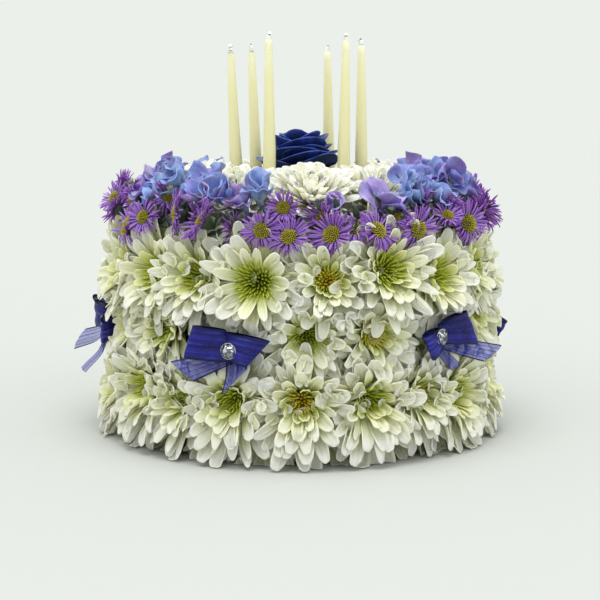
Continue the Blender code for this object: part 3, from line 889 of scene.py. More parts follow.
def bent(
    flat, length, width, rise, curl, cup=0.3, twist=0.0, sweep=0.0, wave=0.0, phase=0.0, hook=0.0, ridge=0.1
):
    """Bends a flat blank: its root leaves along X at the rise, and curls back by the tip.

    cup lifts the two edges, twist turns the petal about its own length, sweep leans it sideways,
    wave ruffles its edges, hook draws the tip up, and ridge folds it lengthwise. Rise, curl and
    twist are in degrees.
    """
    rise = math.radians(rise)
    curl = math.radians(curl)
    curl = curl if abs(curl) > 1e-4 else 1e-4
    side = flat[:, 0]
    along = flat[:, 1]
    angle = rise - curl * along
    out = length * (math.sin(rise) - np.sin(angle)) / curl
    up = length * (np.cos(angle) - math.cos(rise)) / curl
    lift = cup * width * side**2 * (0.5 + 0.7 * along) + ridge * width * np.cos(side * 2 * math.pi)
    lift = lift + hook * length * np.clip(along - 0.55, 0.0, 1.0) ** 2
    lift = lift + wave * width * np.abs(side) * np.sin(along * 9.0 + phase + 2.0 * np.sign(side))
    turn = math.radians(twist) * along
    across = side * width * np.cos(turn) - lift * np.sin(turn)
    normal = side * width * np.sin(turn) + lift * np.cos(turn)
    x = out - normal * np.sin(angle)
    z = up + normal * np.cos(angle)
    y = across + sweep * length * along**2
    return np.stack((x, y, z), axis=1)


def round_axis(points, azimuth, radius=0.0, height=0.0):
    """Moves points out along X and up, and turns them about Z."""
    cosine, sine = math.cos(azimuth), math.sin(azimuth)
    x = points[:, 0] + radius
    y = points[:, 1]
    return np.stack((x * cosine - y * sine, x * sine + y * cosine, points[:, 2] + height), axis=1)


def placed(points, matrix):
    return points @ matrix[:3, :3].T + matrix[:3, 3]


def kept_in(points):
    """Petals lie down where they meet the floor, and draw in where they stand out too far."""
    reach = np.hypot(points[:, 0], points[:, 1])
    excess = np.maximum(reach - SPLAY, 0.0)
    share = (reach - 0.75 * excess) / reach
    height = np.maximum(points[:, 2], FLOOR_GAP + 0.02 * np.abs(points[:, 2] - FLOOR_GAP))
    return np.stack((points[:, 0] * share, points[:, 1] * share, height), axis=1)


def pressed(points):
    """Petals that would pass through a bow are pressed back behind it."""
    for azimuth, shape, way, flare, level in BOWS:
        left, right = BOW_REACH[shape]
        away = np.array(outward(azimuth))
        side = np.array(sideways(azimuth)) * way
        depth = points @ away
        along = points @ side
        rise = points[:, 2] - level
        limit = BOW_FACE - BOW_GAP + np.hypot(along, rise) * math.tan(math.radians(flare)) * 0.9
        inside = (along > left) & (along < right) & (rise > BOW_BELOW) & (rise < BOW_ABOVE)
        excess = np.where(inside, np.maximum(depth - limit, 0.0), 0.0)
        points = points - np.outer(excess * 1.08, away)
    return points


def kept_low(points):
    """The petals of the top bend over where they would stand above its level."""
    excess = np.maximum(points[:, 2] - TOP_LEVEL, 0.0)
    return points - np.outer(excess * TOP_BEND, (0.0, 0.0, 1.0))


def tucked(points):
    """The lower rays of an aster go in behind the white petals under them."""
    reach = np.hypot(points[:, 0], points[:, 1])
    drop = np.maximum(ASTER_HEIGHT - ASTER_TUCK - points[:, 2], 0.0)
    share = 1.0 - 0.8 * drop / reach
    return points * np.stack((share, share, np.ones(len(share))), axis=1)


def aimed(points, direction):
    """Turns points modelled up local Z to a direction."""
    turn = np.array(direction.to_track_quat("Z", "Y").to_matrix())
    return points @ turn.T


def stem_rows(centre_line, radii, sides):
    """Rings of points round a line of centres, for a stem, spur or candle."""
    rows = []
    for index, (centre, radius) in enumerate(zip(centre_line, radii)):
        before = centre_line[max(index - 1, 0)]
        after = centre_line[min(index + 1, len(centre_line) - 1)]
        frame_turn = (after - before).to_track_quat("Z", "Y").to_matrix()
        for side in range(sides):
            angle = 2 * math.pi * side / sides
            offset = Vector((math.cos(angle) * radius, math.sin(angle) * radius, 0.0))
            rows.append(centre + frame_turn @ offset)
    return np.array([tuple(point) for point in rows])


class Tube(Blank):
    """The faces of a tube with closed ends, for rows from stem_rows."""

    def __init__(self, rings, sides):
        self.closed = True
        corners = []
        sizes = []
        uv = []
        for ring in range(rings - 1):
            for side in range(sides):
                following = (side + 1) % sides
                corners += [ring * sides + side, ring * sides + following]
                corners += [(ring + 1) * sides + following, (ring + 1) * sides + side]
                low, high = ring / (rings - 1), (ring + 1) / (rings - 1)
                left, right = side / sides, (side + 1) / sides
                uv += [(left, low), (right, low), (right, high), (left, high)]
                sizes.append(4)
        corners += list(reversed(range(sides)))
        uv += [(side / sides, 0.0) for side in range(sides)]
        sizes.append(sides)
        corners += [(rings - 1) * sides + side for side in range(sides)]
        uv += [(side / sides, 1.0) for side in range(sides)]
        sizes.append(sides)
        self.corners = np.array(corners, dtype=np.int32)
        self.sizes = np.array(sizes, dtype=np.int32)
        self.uv = np.array(uv)


def add_cup(bunch, profile, matrix, size, tone, slot):
    """A cup or bud of round rings, whose heights and radii are shares of the size."""
    line = [Vector((0.0, 0.0, height * size)) for height, _ in profile]
    rows = stem_rows(line, [radius * size for _, radius in profile], CUP_SIDES)
    bunch.add(BLANKS["cup"], placed(rows, matrix), tone, 0.5, slot)


def add_eye(bunch, kind, matrix, size, draw):
    """Packs fingers over a dome by the golden angle; the outer ones lean out by the spread."""
    radius, count, dome, spread, thickness, reach, slot = EYES[kind]
    blank = BLANKS["finger"]
    for index in range(count):
        share = math.sqrt((index + 0.5) / count)
        out = radius * size * share
        angle = index * GOLDEN_ANGLE
        length = reach * size * (0.40 + 0.60 * share) * draw.uniform(0.80, 1.15)
        thick = thickness * size * draw.uniform(0.80, 1.15)
        points = blank.points * np.array((thick, thick, length))
        tip = math.sin(spread * share)
        stray = Vector((draw.uniform(-0.13, 0.13), draw.uniform(-0.13, 0.13), 0.0))
        points = aimed(points, Vector((tip * math.cos(angle), tip * math.sin(angle), 1.0)) + stray)
        height = dome * size * (1.0 - share**2)
        points = points + np.array((out * math.cos(angle), out * math.sin(angle), height))
        bunch.add(blank, placed(points, matrix), draw.uniform(0, 1), share, slot)


BLANKS = {}
CUP_RINGS = 5
CUP_SIDES = 12

# Rings of petals, from the back to the front: how many, root, height, length and half width as shares
# of the radius, rise and curl in degrees, and how pale they are
OPEN_RINGS = (
    (19, 0.14, -0.24, 0.97, 0.128, 8, 14, 1.00),
    (19, 0.14, -0.18, 0.94, 0.126, 22, 18, 0.94),
    (18, 0.14, -0.12, 0.86, 0.120, 36, 22, 0.82),
    (14, 0.15, -0.07, 0.68, 0.108, 49, 22, 0.55),
    (9, 0.17, -0.04, 0.44, 0.092, 60, 4, 0.15),
)
DOUBLE_RINGS = (
    (20, 0.14, -0.14, 0.96, 0.112, 2, -4, 1.00),
    (20, 0.14, -0.10, 0.93, 0.112, 16, -4, 0.95),
    (19, 0.13, -0.07, 0.87, 0.110, 30, -2, 0.90),
    (18, 0.12, -0.04, 0.78, 0.105, 43, 0, 0.80),
    (16, 0.10, -0.02, 0.68, 0.098, 55, 4, 0.72),
    (12, 0.06, 0.00, 0.58, 0.090, 67, 8, 0.64),
    (8, 0.02, 0.00, 0.50, 0.080, 80, 10, 0.56),
)

# How many rings a bloom with a wide or a covered eye has
FEWER_RINGS = {"deep": 4, "hidden": 3}

# Eyes: radius, how many fingers, height of the dome, how far the outer fingers lean, how thick and long
# the fingers are, and the material. Sizes are shares of the head's.
EYES = {
    "green": (0.19, 60, 0.02, 0.62, 0.029, 0.25, 1),
    "deep": (0.27, 96, -0.07, 0.62, 0.029, 0.25, 1),
    "golden": (0.19, 60, 0.02, 0.62, 0.029, 0.25, 2),
    "aster": (0.34, 70, 0.15, 0.90, 0.044, 0.10, 1),
}

# The lower petals of a bloom hang: how much longer and steeper they get
FALL_LENGTH = 0.34
FALL_RISE = 30.0
SLIM_SHARE = 0.30

# Rings of the cups, from the back: height and radius
MUM_CUP = ((-0.40, 0.05), (-0.36, 0.14), (-0.30, 0.21), (-0.22, 0.23), (-0.13, 0.16))
ASTER_CUP = ((-0.60, 0.05), (-0.42, 0.18), (-0.20, 0.28), (-0.05, 0.32), (0.06, 0.28))
ASTER_BUD = ((-2.2, 0.10), (-0.6, 0.14), (-0.3, 0.55), (0.3, 0.60), (0.7, 0.30))


def mum_head(bunch, head, draw):
    """Rings of petals from the back to the front, the eye, and the green cup behind."""
    matrix = head.matrix()
    size = head.radius
    double = head.eye == "none"
    away = np.array((head.spot.x, head.spot.y, 0.0)) / math.hypot(head.spot.x, head.spot.y)
    rings = DOUBLE_RINGS if double else OPEN_RINGS[: FEWER_RINGS.get(head.eye)]
    for number, (count, root, height, length, width, rise, curl, layer) in enumerate(rings):
        for index in range(count):
            azimuth = 2 * math.pi * (index + 0.5 * (number % 2)) / count + draw.uniform(-0.12, 0.12)
            radial = matrix[:3, :3] @ np.array((math.cos(azimuth), math.sin(azimuth), 0.0))
            fall = max(0.0, -radial[2]) ** 2 * head.fall
            outer = max(0.0, float(radial @ away)) * head.trim
            loose = draw.random()
            blank = BLANKS["slim_petal" if draw.random() < SLIM_SHARE and not double else "petal"]
            points = bent(
                blank.points,
                length * size * draw.uniform(0.86, 1.06) * (1.0 + FALL_LENGTH * fall) * (1.0 - outer),
                width * size * draw.uniform(0.88, 1.12),
                rise + FALL_RISE * fall + draw.uniform(-9, 9),
                curl * (1.0 - 0.6 * fall) + draw.uniform(-14, 14),
                cup=draw.uniform(0.15, 0.5) if loose < 0.7 else draw.uniform(0.5, 0.8),
                twist=draw.uniform(-18, 18),
                sweep=draw.uniform(-0.08, 0.08),
                wave=0.05,
                phase=draw.uniform(0, 6),
                hook=draw.uniform(-0.1, 0.35) if loose < 0.8 else draw.uniform(0.35, 0.6),
            )
            points = round_axis(points, azimuth, root * size, height * size)
            points = kept_in(pressed(placed(points, matrix)))
            bunch.add(blank, kept_low(points) if double else points, draw.uniform(0, 1), layer, 0)
    if head.eye in EYES:
        add_eye(bunch, head.eye, matrix, size, draw)
    add_cup(bunch, MUM_CUP, matrix, size, 0.5, 3)


def mum_materials(petals):
    """The petals' finish and the ones that all chrysanthemums share: two eyes and the cup."""
    return [
        petals,
        eye_finish("Green eye", (0.10, 0.11, 0.006), (0.34, 0.40, 0.02), (0.58, 0.64, 0.09)),
        eye_finish("Golden eye", (0.30, 0.12, 0.008), (0.62, 0.50, 0.025), (0.66, 0.68, 0.11)),
        leaf_finish("Flower cup", (0.06, 0.11, 0.02), (0.20, 0.28, 0.07)),
    ]


def make_mums(heads, prefix, materials):
    thickness = bpy.context.scene.flowercake_mums.thickness
    for node, members in by_node(heads).items():
        draw = random.Random(node)
        bunch = Bunch()
        for head in members:
            mum_head(bunch, head, draw)
        piece = bunch.piece(f"{prefix}_{node[-2:]}", materials, thickness)
        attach(piece, "root")
        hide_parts(node)


# Settings


def a_length(name, description, default):
    return FloatProperty(
        name=name, description=description, default=default, subtype="DISTANCE", unit="LENGTH"
    )


def a_colour(name, description, default):
    return FloatVectorProperty(
        name=name, description=description, default=default, subtype="COLOR", min=0.0, max=1.0
    )


def a_count(name, description, default):
    return IntProperty(name=name, description=description, default=default, min=2, max=80)


def a_light(name, description, default):
    return FloatProperty(name=name, description=description, default=default, min=0.0)


class MumSettings(PropertyGroup):
    """Sizes and colours of the chrysanthemums."""

    petal_columns: a_count("Petal columns", "Faces across a petal", 4)
    thickness: a_length("Thickness", "Thickness of a petal", 0.00035)
    tip_colour: a_colour("Petal tips", "Colour of the tips of the side petals", (0.89, 0.88, 0.74))
    root_colour: a_colour("Petal roots", "Colour of the side petals beside the eye", (0.30, 0.38, 0.015))
    # The top petals' colour is paler than the side ones', partly their own cream and partly painted light
    # from above
    top_colour: a_colour("Top petals", "Colour of the petals on the top", (0.95, 0.935, 0.80))


class RimSettings(PropertyGroup):
    """Sizes and colours of the flowers round the rim."""

    aster_petals: a_count("Aster petals", "Petals in each of an aster's rings", 27)
    ray_thickness: a_length("Ray thickness", "Thickness of an aster petal", 0.00025)
    floret_thickness: a_length("Floret thickness", "Thickness of a delphinium petal", 0.0004)
    aster_colour: a_colour("Aster", "Colour of the aster petals", (0.17, 0.034, 0.40))
    delphinium_colour: a_colour("Delphinium", "Colour of the delphinium petals", (0.16, 0.215, 0.58))


class TopSettings(PropertyGroup):
    """Sizes and colours of the rose and the candles."""

    rose_petals: a_count("Rose petals", "Petals in the rose", 23)
    candle_radius: a_length("Candle radius", "Radius of a candle at its foot", 0.0038)
    candle_tip: a_length("Tip radius", "Radius of a candle below its tip", 0.0022)
    rose_colour: a_colour("Rose", "Colour of the rose petals", (0.006, 0.015, 0.090))
    wax_colour: a_colour("Wax", "Colour of the candles", (0.83, 0.79, 0.46))


class BowSettings(PropertyGroup):
    """Sizes and colours of the ribbon bows."""

    jewel_radius: a_length("Jewel radius", "Radius of the rhinestone", 0.0046)
    ribbon_width: a_length("Ribbon width", "Width of the ribbon before it is folded", 0.018)
    ribbon_colour: a_colour("Ribbon", "Colour of the ribbon", (0.014, 0.015, 0.28))


class StageSettings(PropertyGroup):
    """The floor, the lights and the camera."""

    camera_place: FloatVectorProperty(
        name="Camera place", description="Where the camera stands", default=(0.0, -0.7953, 0.1898),
        subtype="TRANSLATION", unit="LENGTH",
    )
    camera_dip: FloatProperty(
        name="Camera dip", description="How far the camera looks down", default=math.radians(8.066),
        subtype="ANGLE", unit="ROTATION",
    )
    camera_lens: FloatProperty(name="Lens", description="Focal length in millimetres", default=76.08)
    key_light: a_light("Key light", "Strength of the light from the left", 0.45)
    fill_light: a_light("Fill light", "Strength of the light from the right", 0.32)
    top_light: a_light("Top light", "Strength of the light overhead", 2.1)
    surround: a_colour("Surround", "Colour of the studio round the cake", (0.83, 0.87, 0.83))
    floor_colour: a_colour("Floor", "Colour of the floor", (0.504, 0.516, 0.504))


class FLOWERCAKE_OT_foam(Operator):
    """Gives the foam drum its wet green finish"""

    bl_idname = "flowercake.foam"
    bl_label = "Foam drum"

    def execute(self, context):
        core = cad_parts["foam_core"]
        core.data.materials.clear()
        core.data.materials.append(foam_finish())
        return {"FINISHED"}


class FLOWERCAKE_OT_blanks(Operator):
    """Makes the shapes that the flowers copy"""

    bl_idname = "flowercake.blanks"
    bl_label = "Petal blanks"

    def execute(self, context):
        columns = context.scene.flowercake_mums.petal_columns
        BLANKS["petal"] = petal_blank(columns, PETAL_OUTLINE)
        BLANKS["slim_petal"] = petal_blank(columns, SLIM_OUTLINE)
        BLANKS["ray"] = petal_blank(2, RAY_OUTLINE)
        BLANKS["sepal"] = petal_blank(6, SEPAL_OUTLINE)
        BLANKS["rose_petal"] = petal_blank(10, ROSE_OUTLINE)
        BLANKS["leaf"] = petal_blank(2, LEAF_OUTLINE)
        BLANKS["finger"] = finger_blank()
        BLANKS["cup"] = Tube(CUP_RINGS, CUP_SIDES)
        BLANKS["spur"] = Tube(SPUR_RINGS, SPUR_SIDES)
        return {"FINISHED"}


class FLOWERCAKE_OT_side_mums(Operator):
    """Models the chrysanthemums of the side, in their three rows"""

    bl_idname = "flowercake.side_mums"
    bl_label = "Side chrysanthemums"

    def execute(self, context):
        settings = context.scene.flowercake_mums
        middle = ((0.55, 0.59, 0.10), (0.83, 0.83, 0.48))
        tip, root = tuple(settings.tip_colour), tuple(settings.root_colour)
        # The side petals get painted olive shade of strength 0.40 where they stand deep between the blooms
        petals = chrysanthemum_finish("Chrysanthemum petals", tip, middle, root, 0.0, 0.40, 0.45)
        materials = mum_materials(petals)
        make_mums(HEADS["side"], "side_bloom", materials)
        make_mums(HEADS["lower"], "low_bloom", materials)
        return {"FINISHED"}


class FLOWERCAKE_OT_top_mums(Operator):
    """Models the chrysanthemums of the top"""

    bl_idname = "flowercake.top_mums"
    bl_label = "Top chrysanthemums"

    def execute(self, context):
        # The top petals are painted paler than the side ones, partly their own cream and partly painted
        # light from the lamp overhead
        tip = tuple(context.scene.flowercake_mums.top_colour)
        middle = ((0.84, 0.82, 0.44), (0.92, 0.90, 0.66))
        root = (0.68, 0.68, 0.20)
        petals = chrysanthemum_finish("Top chrysanthemum petals", tip, middle, root, -0.16, 0.0, 0.65)
        make_mums(HEADS["top"], "top_bloom", mum_materials(petals))
        return {"FINISHED"}


# The two rings of an aster's rays: rise, length and height
ASTER_RINGS = ((4, 0.72, -0.05), (20, 0.66, 0.0))
ASTER_ROOT = 0.30
RAY_WIDTH = 0.039

# Between the heads: how far from the middle the second aster, the buds and the leaves are
BEHIND_RING = (0.103, 0.110)
BUD_RING = 0.108
LEAF_RING = (0.102, 0.109)
BUD_SIZE = 0.0024
LEAF_SIZE = (0.010, 0.0018)
LEAVES_PER_ASTER = 12


def aster_head(bunch, matrix, size, petals, draw):
    """Two rings of narrow rays round a grainy dome, and the cup behind."""
    blank = BLANKS["ray"]
    shut = draw.uniform(-6, 26)
    for ring, (rise, length, height) in enumerate(ASTER_RINGS):
        for index in range(petals):
            azimuth = 2 * math.pi * (index + 0.5 * ring) / petals + draw.uniform(-0.12, 0.12)
            points = bent(
                blank.points,
                length * size * draw.uniform(0.76, 1.14),
                RAY_WIDTH * size * draw.uniform(0.8, 1.2),
                rise + shut + draw.uniform(-11, 11),
                draw.uniform(-10, 34),
                cup=0.5,
                twist=draw.uniform(-45, 45),
                sweep=draw.uniform(-0.12, 0.12),
            )
            points = round_axis(points, azimuth, ASTER_ROOT * size, height * size)
            bunch.add(blank, tucked(placed(points, matrix)), draw.uniform(0, 1), ring, 0)
    add_eye(bunch, "aster", matrix, size, draw)
    add_cup(bunch, ASTER_CUP, matrix, size, 0.5, 2)


def aster_bud(bunch, spot, axis, size, draw):
    """A shut green bud that shows a little violet, on a thin stalk."""
    blank = BLANKS["ray"]
    matrix = facing(spot, axis, draw.uniform(0, 1))
    add_cup(bunch, ASTER_BUD, matrix, size, 0.9, 3)
    for index in range(7):
        points = bent(blank.points, 1.1 * size, 0.16 * size, 82, -12, cup=0.5)
        points = round_axis(points, index * GOLDEN_ANGLE, ASTER_ROOT * size, 0.2 * size)
        bunch.add(blank, placed(points, matrix), draw.uniform(0, 1), 0.5, 0)


def add_leaf(bunch, spot, azimuth, tilt, size, slot, draw):
    """A small leaf of a size (length, half width) that leaves its spot along the tilted direction."""
    blank = BLANKS["leaf"]
    rise = draw.uniform(5, 40)
    curl = draw.uniform(10, 60)
    points = bent(blank.points, *size, rise, curl, cup=0.4, twist=draw.uniform(-25, 25))
    matrix = facing(spot, tilted(azimuth, tilt), draw.uniform(0, 1))
    bunch.add(blank, placed(points, matrix), draw.uniform(0, 1), 0.5, slot)


class FLOWERCAKE_OT_asters(Operator):
    """Models the sprays of asters with their leaves"""

    bl_idname = "flowercake.asters"
    bl_label = "Aster sprays"

    def execute(self, context):
        settings = context.scene.flowercake_rim
        materials = [
            aster_finish(tuple(settings.aster_colour)),
            eye_finish("Aster disc", (0.20, 0.15, 0.012), (0.30, 0.26, 0.015), (0.44, 0.40, 0.03)),
            # The aster leaves are nearly black: their own dark green, and partly painted shade for the gaps
            # between the heads
            leaf_finish("Aster leaves", (0.004, 0.012, 0.003), (0.025, 0.050, 0.012)),
            leaf_finish("Aster buds", (0.16, 0.22, 0.10), (0.42, 0.48, 0.28)),
        ]
        for node, members in by_node(HEADS["aster"]).items():
            draw = random.Random(node)
            bunch = Bunch()
            for head in members:
                self.stem(bunch, head, settings.aster_petals, draw)
            piece = bunch.piece(f"aster_heads_{node[-2:]}", materials, settings.ray_thickness)
            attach(piece, "root")
            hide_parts(node)
        return {"FINISHED"}

    @staticmethod
    def stem(bunch, head, petals, draw):
        """An aster, another behind it, sometimes three buds, and the leaves between."""
        azimuth = math.degrees(math.atan2(head.spot.x, -head.spot.y))
        axis = head.axis + sideways(azimuth) * draw.uniform(-1.1, 1.1) + UP * draw.uniform(-0.5, 0.8)
        spot = head.spot + outward(azimuth) * 0.002 + sideways(azimuth) * draw.uniform(-0.005, 0.005)
        spot = spot + UP * draw.uniform(-0.007, 0.008)
        matrix = facing(spot, axis, head.twist)
        aster_head(bunch, matrix, head.radius * draw.uniform(0.72, 1.12), petals, draw)
        side = azimuth + draw.uniform(4.0, 8.0)
        spot = place_at(side, draw.uniform(*BEHIND_RING), ASTER_HEIGHT + draw.uniform(-0.005, 0.015))
        axis = tilted(side + draw.uniform(-65, 65), draw.uniform(-10, 70))
        matrix = facing(spot, axis, draw.uniform(0, 1))
        aster_head(bunch, matrix, head.radius * draw.uniform(0.70, 0.95), petals, draw)
        if draw.random() < 0.4:
            for _ in range(3):
                bud = place_at(side + draw.uniform(-3, 3), BUD_RING, spot.z + draw.uniform(0.0, 0.008))
                stalk = tilted(side + draw.uniform(-40, 40), draw.uniform(10, 80))
                aster_bud(bunch, bud, stalk, BUD_SIZE, draw)
        for _ in range(LEAVES_PER_ASTER):
            side = azimuth + draw.uniform(-7, 7)
            spot = place_at(side, draw.uniform(*LEAF_RING), head.spot.z + draw.uniform(-0.013, 0.008))
            turn = side + draw.uniform(-30, 30)
            add_leaf(bunch, spot, turn, draw.uniform(0, 50), LEAF_SIZE, 2, draw)


def floret_head(bunch, matrix, size, openness, own, draw):
    """Five cupped sepals, the small dark petals inside them and the spur behind."""
    sepal = BLANKS["sepal"]
    inner = BLANKS["leaf"]
    for index in range(5):
        azimuth = 2 * math.pi * index / 5 + draw.uniform(-0.16, 0.16)
        points = bent(
            sepal.points,
            size * draw.uniform(0.85, 1.18),
            0.47 * size * draw.uniform(0.85, 1.15),
            78 - 40 * openness + draw.uniform(-16, 16),
            14 + 52 * openness + draw.uniform(-34, 34),
            cup=draw.uniform(0.2, 0.8),
            twist=draw.uniform(-45, 45),
            sweep=draw.uniform(-0.2, 0.2),
            wave=draw.uniform(0.15, 0.38),
            phase=draw.uniform(0, 6),
            hook=draw.uniform(-0.8, 0.9),
            ridge=draw.uniform(-0.05, 0.22),
        )
        points = round_axis(points, azimuth, 0.10 * size, -0.22 * size)
        tone = min(1.0, max(0.0, own + draw.uniform(-0.25, 0.25)))
        bunch.add(sepal, placed(points, matrix), tone, draw.uniform(0, 1), 0)
    for index in range(4):
        azimuth = 2 * math.pi * index / 4 + draw.uniform(-0.3, 0.3)
        points = bent(inner.points, 0.36 * size, 0.10 * size, 70, 40, cup=0.4)
        points = round_axis(points, azimuth, 0.05 * size, -0.14 * size)
        bunch.add(inner, placed(points, matrix), 0.5, 0.5, 1)
    add_spur(bunch, matrix, size, own, -0.15)


SPUR_RINGS = 6
SPUR_SIDES = 8


def add_spur(bunch, matrix, size, own, start):
    """A thin horn behind a floret, which bends a little and narrows to its tip."""
    shares = [step / (SPUR_RINGS - 1) for step in range(SPUR_RINGS)]
    line = [Vector((0.18 * size * share**2, 0.0, (start - 0.85 * share) * size)) for share in shares]
    radii = [size * (0.16 * (1 - share) + 0.035) for share in shares]
    bunch.add(BLANKS["spur"], placed(stem_rows(line, radii, SPUR_SIDES), matrix), own, 0.2, 0)


def floret_bud(bunch, spot, axis, size, draw):
    """An unopened floret: a round bud with its spur."""
    blank = BLANKS["sepal"]
    matrix = facing(spot, axis, draw.uniform(0, 1))
    own = draw.uniform(0.3, 0.8)
    for index in range(5):
        points = bent(blank.points, 1.5 * size, 0.62 * size, 48, -105, cup=0.5)
        points = round_axis(points, 2 * math.pi * index / 5, 0.08 * size, 0.0)
        bunch.add(blank, placed(points, matrix), own, 0.9, 0)
    add_spur(bunch, matrix, 1.6 * size, own, 0.05)


# Florets beside the usual ones of a sprig: turn from its middle, ring, height, openness and size
CLUMP = (
    (-17.0, 0.099, 0.1480, 0.2, 0.0125),
    (-8.0, 0.103, 0.1460, 0.5, 0.0130),
    (4.0, 0.100, 0.1560, 0.1, 0.0140),
    (14.0, 0.103, 0.1470, 0.4, 0.0125),
)

# All florets of the two small sprigs
SMALL_SPRIGS = {
    1: ((0.0, 0.096, 0.1500, 0.12, 0.0150), (-5.0, 0.098, 0.1450, 0.50, 0.0120)),
    2: ((-10.0, 0.101, 0.1440, 0.05, 0.0095), (6.5, 0.100, 0.1430, 0.30, 0.0160)),
}
FLORET_BUD_TURNS = (-20.0, -13.0, 9.0, 21.0)
FLORET_BUD_SIZE = 0.0042


class FLOWERCAKE_OT_delphiniums(Operator):
    """Models the sprigs of delphinium on the rim"""

    bl_idname = "flowercake.delphiniums"
    bl_label = "Delphinium sprigs"

    def execute(self, context):
        settings = context.scene.flowercake_rim
        materials = [
            delphinium_finish(tuple(settings.delphinium_colour)),
            leaf_finish("Delphinium bees", (0.020, 0.012, 0.016), (0.30, 0.24, 0.22)),
        ]
        for node, members in by_node(HEADS["floret"]).items():
            draw = random.Random(node)
            bunch = Bunch()
            number = int(node[-2:]) - 1
            middle = SPRIGS[number][0]
            if number not in SMALL_SPRIGS:
                self.clump(bunch, members, middle, draw)
            for turn, ring, height, openness, size in SMALL_SPRIGS.get(number, CLUMP):
                side = middle + turn
                axis = tilted(side + draw.uniform(-30, 30), draw.uniform(15, 60))
                matrix = facing(place_at(side, ring, height), axis, draw.uniform(0, 1))
                floret_head(bunch, matrix, size, openness, draw.uniform(0.15, 0.95), draw)
            piece = bunch.piece(f"delphinium_florets_{node[-2:]}", materials, settings.floret_thickness)
            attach(piece, "root")
            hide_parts(node)
        return {"FINISHED"}

    @staticmethod
    def clump(bunch, members, middle, draw):
        """The usual florets of a large sprig and the buds beside them."""
        for head in members:
            openness = draw.uniform(0.1, 0.75)
            floret_head(bunch, head.matrix(), head.radius * 0.92, openness, draw.uniform(0.1, 0.9), draw)
        for turn in FLORET_BUD_TURNS:
            side = middle + turn + draw.uniform(-2, 2)
            spot = place_at(side, draw.uniform(0.094, 0.106), draw.uniform(0.147, 0.160))
            axis = tilted(side + draw.uniform(-40, 40), draw.uniform(10, 60))
            floret_bud(bunch, spot, axis, FLORET_BUD_SIZE, draw)


def rose_petal(flat, share, draw):
    """A wide petal wrapped round the heart; the outer ones open and roll their rims outwards."""
    side = flat[:, 0]
    along = flat[:, 1]
    foot = 0.0020 + 0.0080 * share
    mouth = 0.0040 + 0.0205 * share**0.75
    wrap = math.radians(128 - 58 * share) * draw.uniform(0.90, 1.10)
    top = ROSE_HEART - (0.0110 + draw.uniform(0.0, 0.0050)) * share**1.6 + draw.uniform(-0.0014, 0.0010)
    low = 0.1560 - 0.0060 * share
    roll = (0.0012 + 0.0036 * share) * draw.uniform(0.7, 1.3)
    radius = foot + (mouth - foot) * along**1.3
    rim = np.clip((along - 0.66) / 0.34, 0.0, 1.0)
    radius = radius + roll * np.sin(rim * 1.8) * (1.0 - 0.4 * np.abs(side) ** 3) - 0.0016 * side
    fold = np.sin(side * draw.uniform(2.0, 4.5) + draw.uniform(0, 6))
    radius = radius + 0.0026 * fold * along**2 * (0.25 + share)
    height = low + (top - low) * along - roll * 0.8 * rim**2 * (0.5 + 0.9 * side**2)
    height = height - 0.0040 * side**2 * along + 0.0024 * fold * rim
    angle = side * wrap
    return np.stack((radius * np.cos(angle), radius * np.sin(angle), height), axis=1)


# How far the rose and the candles stand above the foam, which they go into
ROOT_GAP = 0.0008
ROSE_LEAVES = 16
ROSE_LEAF_SIZE = (0.020, 0.0075)
ROSE_THICKNESS = 0.0006

# Rings of the rose's cup: height and radius
ROSE_CUP = (
    (CORE_HEIGHT + ROOT_GAP, 0.0035),
    (0.140, 0.0040),
    (0.150, 0.0090),
    (0.158, 0.0120),
    (0.164, 0.0060),
)


class FLOWERCAKE_OT_rose(Operator):
    """Models the rose in the middle of the top, petal by petal from the heart outwards"""

    bl_idname = "flowercake.rose"
    bl_label = "Rose"

    def execute(self, context):
        settings = context.scene.flowercake_top
        count = settings.rose_petals
        draw = random.Random("rose")
        bunch = Bunch()
        blank = BLANKS["rose_petal"]
        for index in range(count):
            share = index / (count - 1)
            points = rose_petal(blank.points, share, draw)
            points = round_axis(points, index * GOLDEN_ANGLE * 0.985)
            bunch.add(blank, points, draw.uniform(0, 1), share, 0)
        for index in range(ROSE_LEAVES):
            side = math.degrees(index * GOLDEN_ANGLE)
            spot = place_at(side, draw.uniform(0.010, 0.015), draw.uniform(0.131, 0.136))
            add_leaf(bunch, spot, side, draw.uniform(-30, 0), ROSE_LEAF_SIZE, 1, draw)
        line = [UP * height for height, _ in ROSE_CUP]
        rows = stem_rows(line, [radius for _, radius in ROSE_CUP], CUP_SIDES)
        bunch.add(BLANKS["cup"], rows, 0.5, 0.5, 1)
        cup = leaf_finish("Rose cup", (0.02, 0.05, 0.02), (0.08, 0.14, 0.04))
        piece = bunch.piece("navy_rose", [rose_finish(tuple(settings.rose_colour)), cup], ROSE_THICKNESS)
        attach(piece, "root")
        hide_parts("rose")
        return {"FINISHED"}


CANDLE_SIDES = 24
CANDLE_RINGS = 26
TAPER_START = 0.40

# The rounded tip of a candle: height above the shoulder, and radius as a share
CANDLE_TIP = ((0.0006, 0.86), (0.0011, 0.55), (0.0013, 0.25))
WICK_SIDES = 8
WICK_RADII = (0.0016, 0.0014, 0.0013, 0.0014, 0.0009)
WICK_LENGTH = 0.0042
WICK_ROOT = 0.0010
WICK_ROOM = 0.0045


def candle_axis(index, height):
    rise = height - CORE_HEIGHT
    ring = CANDLE_RING + rise * math.tan(math.radians(CANDLE_LEANS[index]))
    return place_at(CANDLE_AZIMUTHS[index], ring, height)


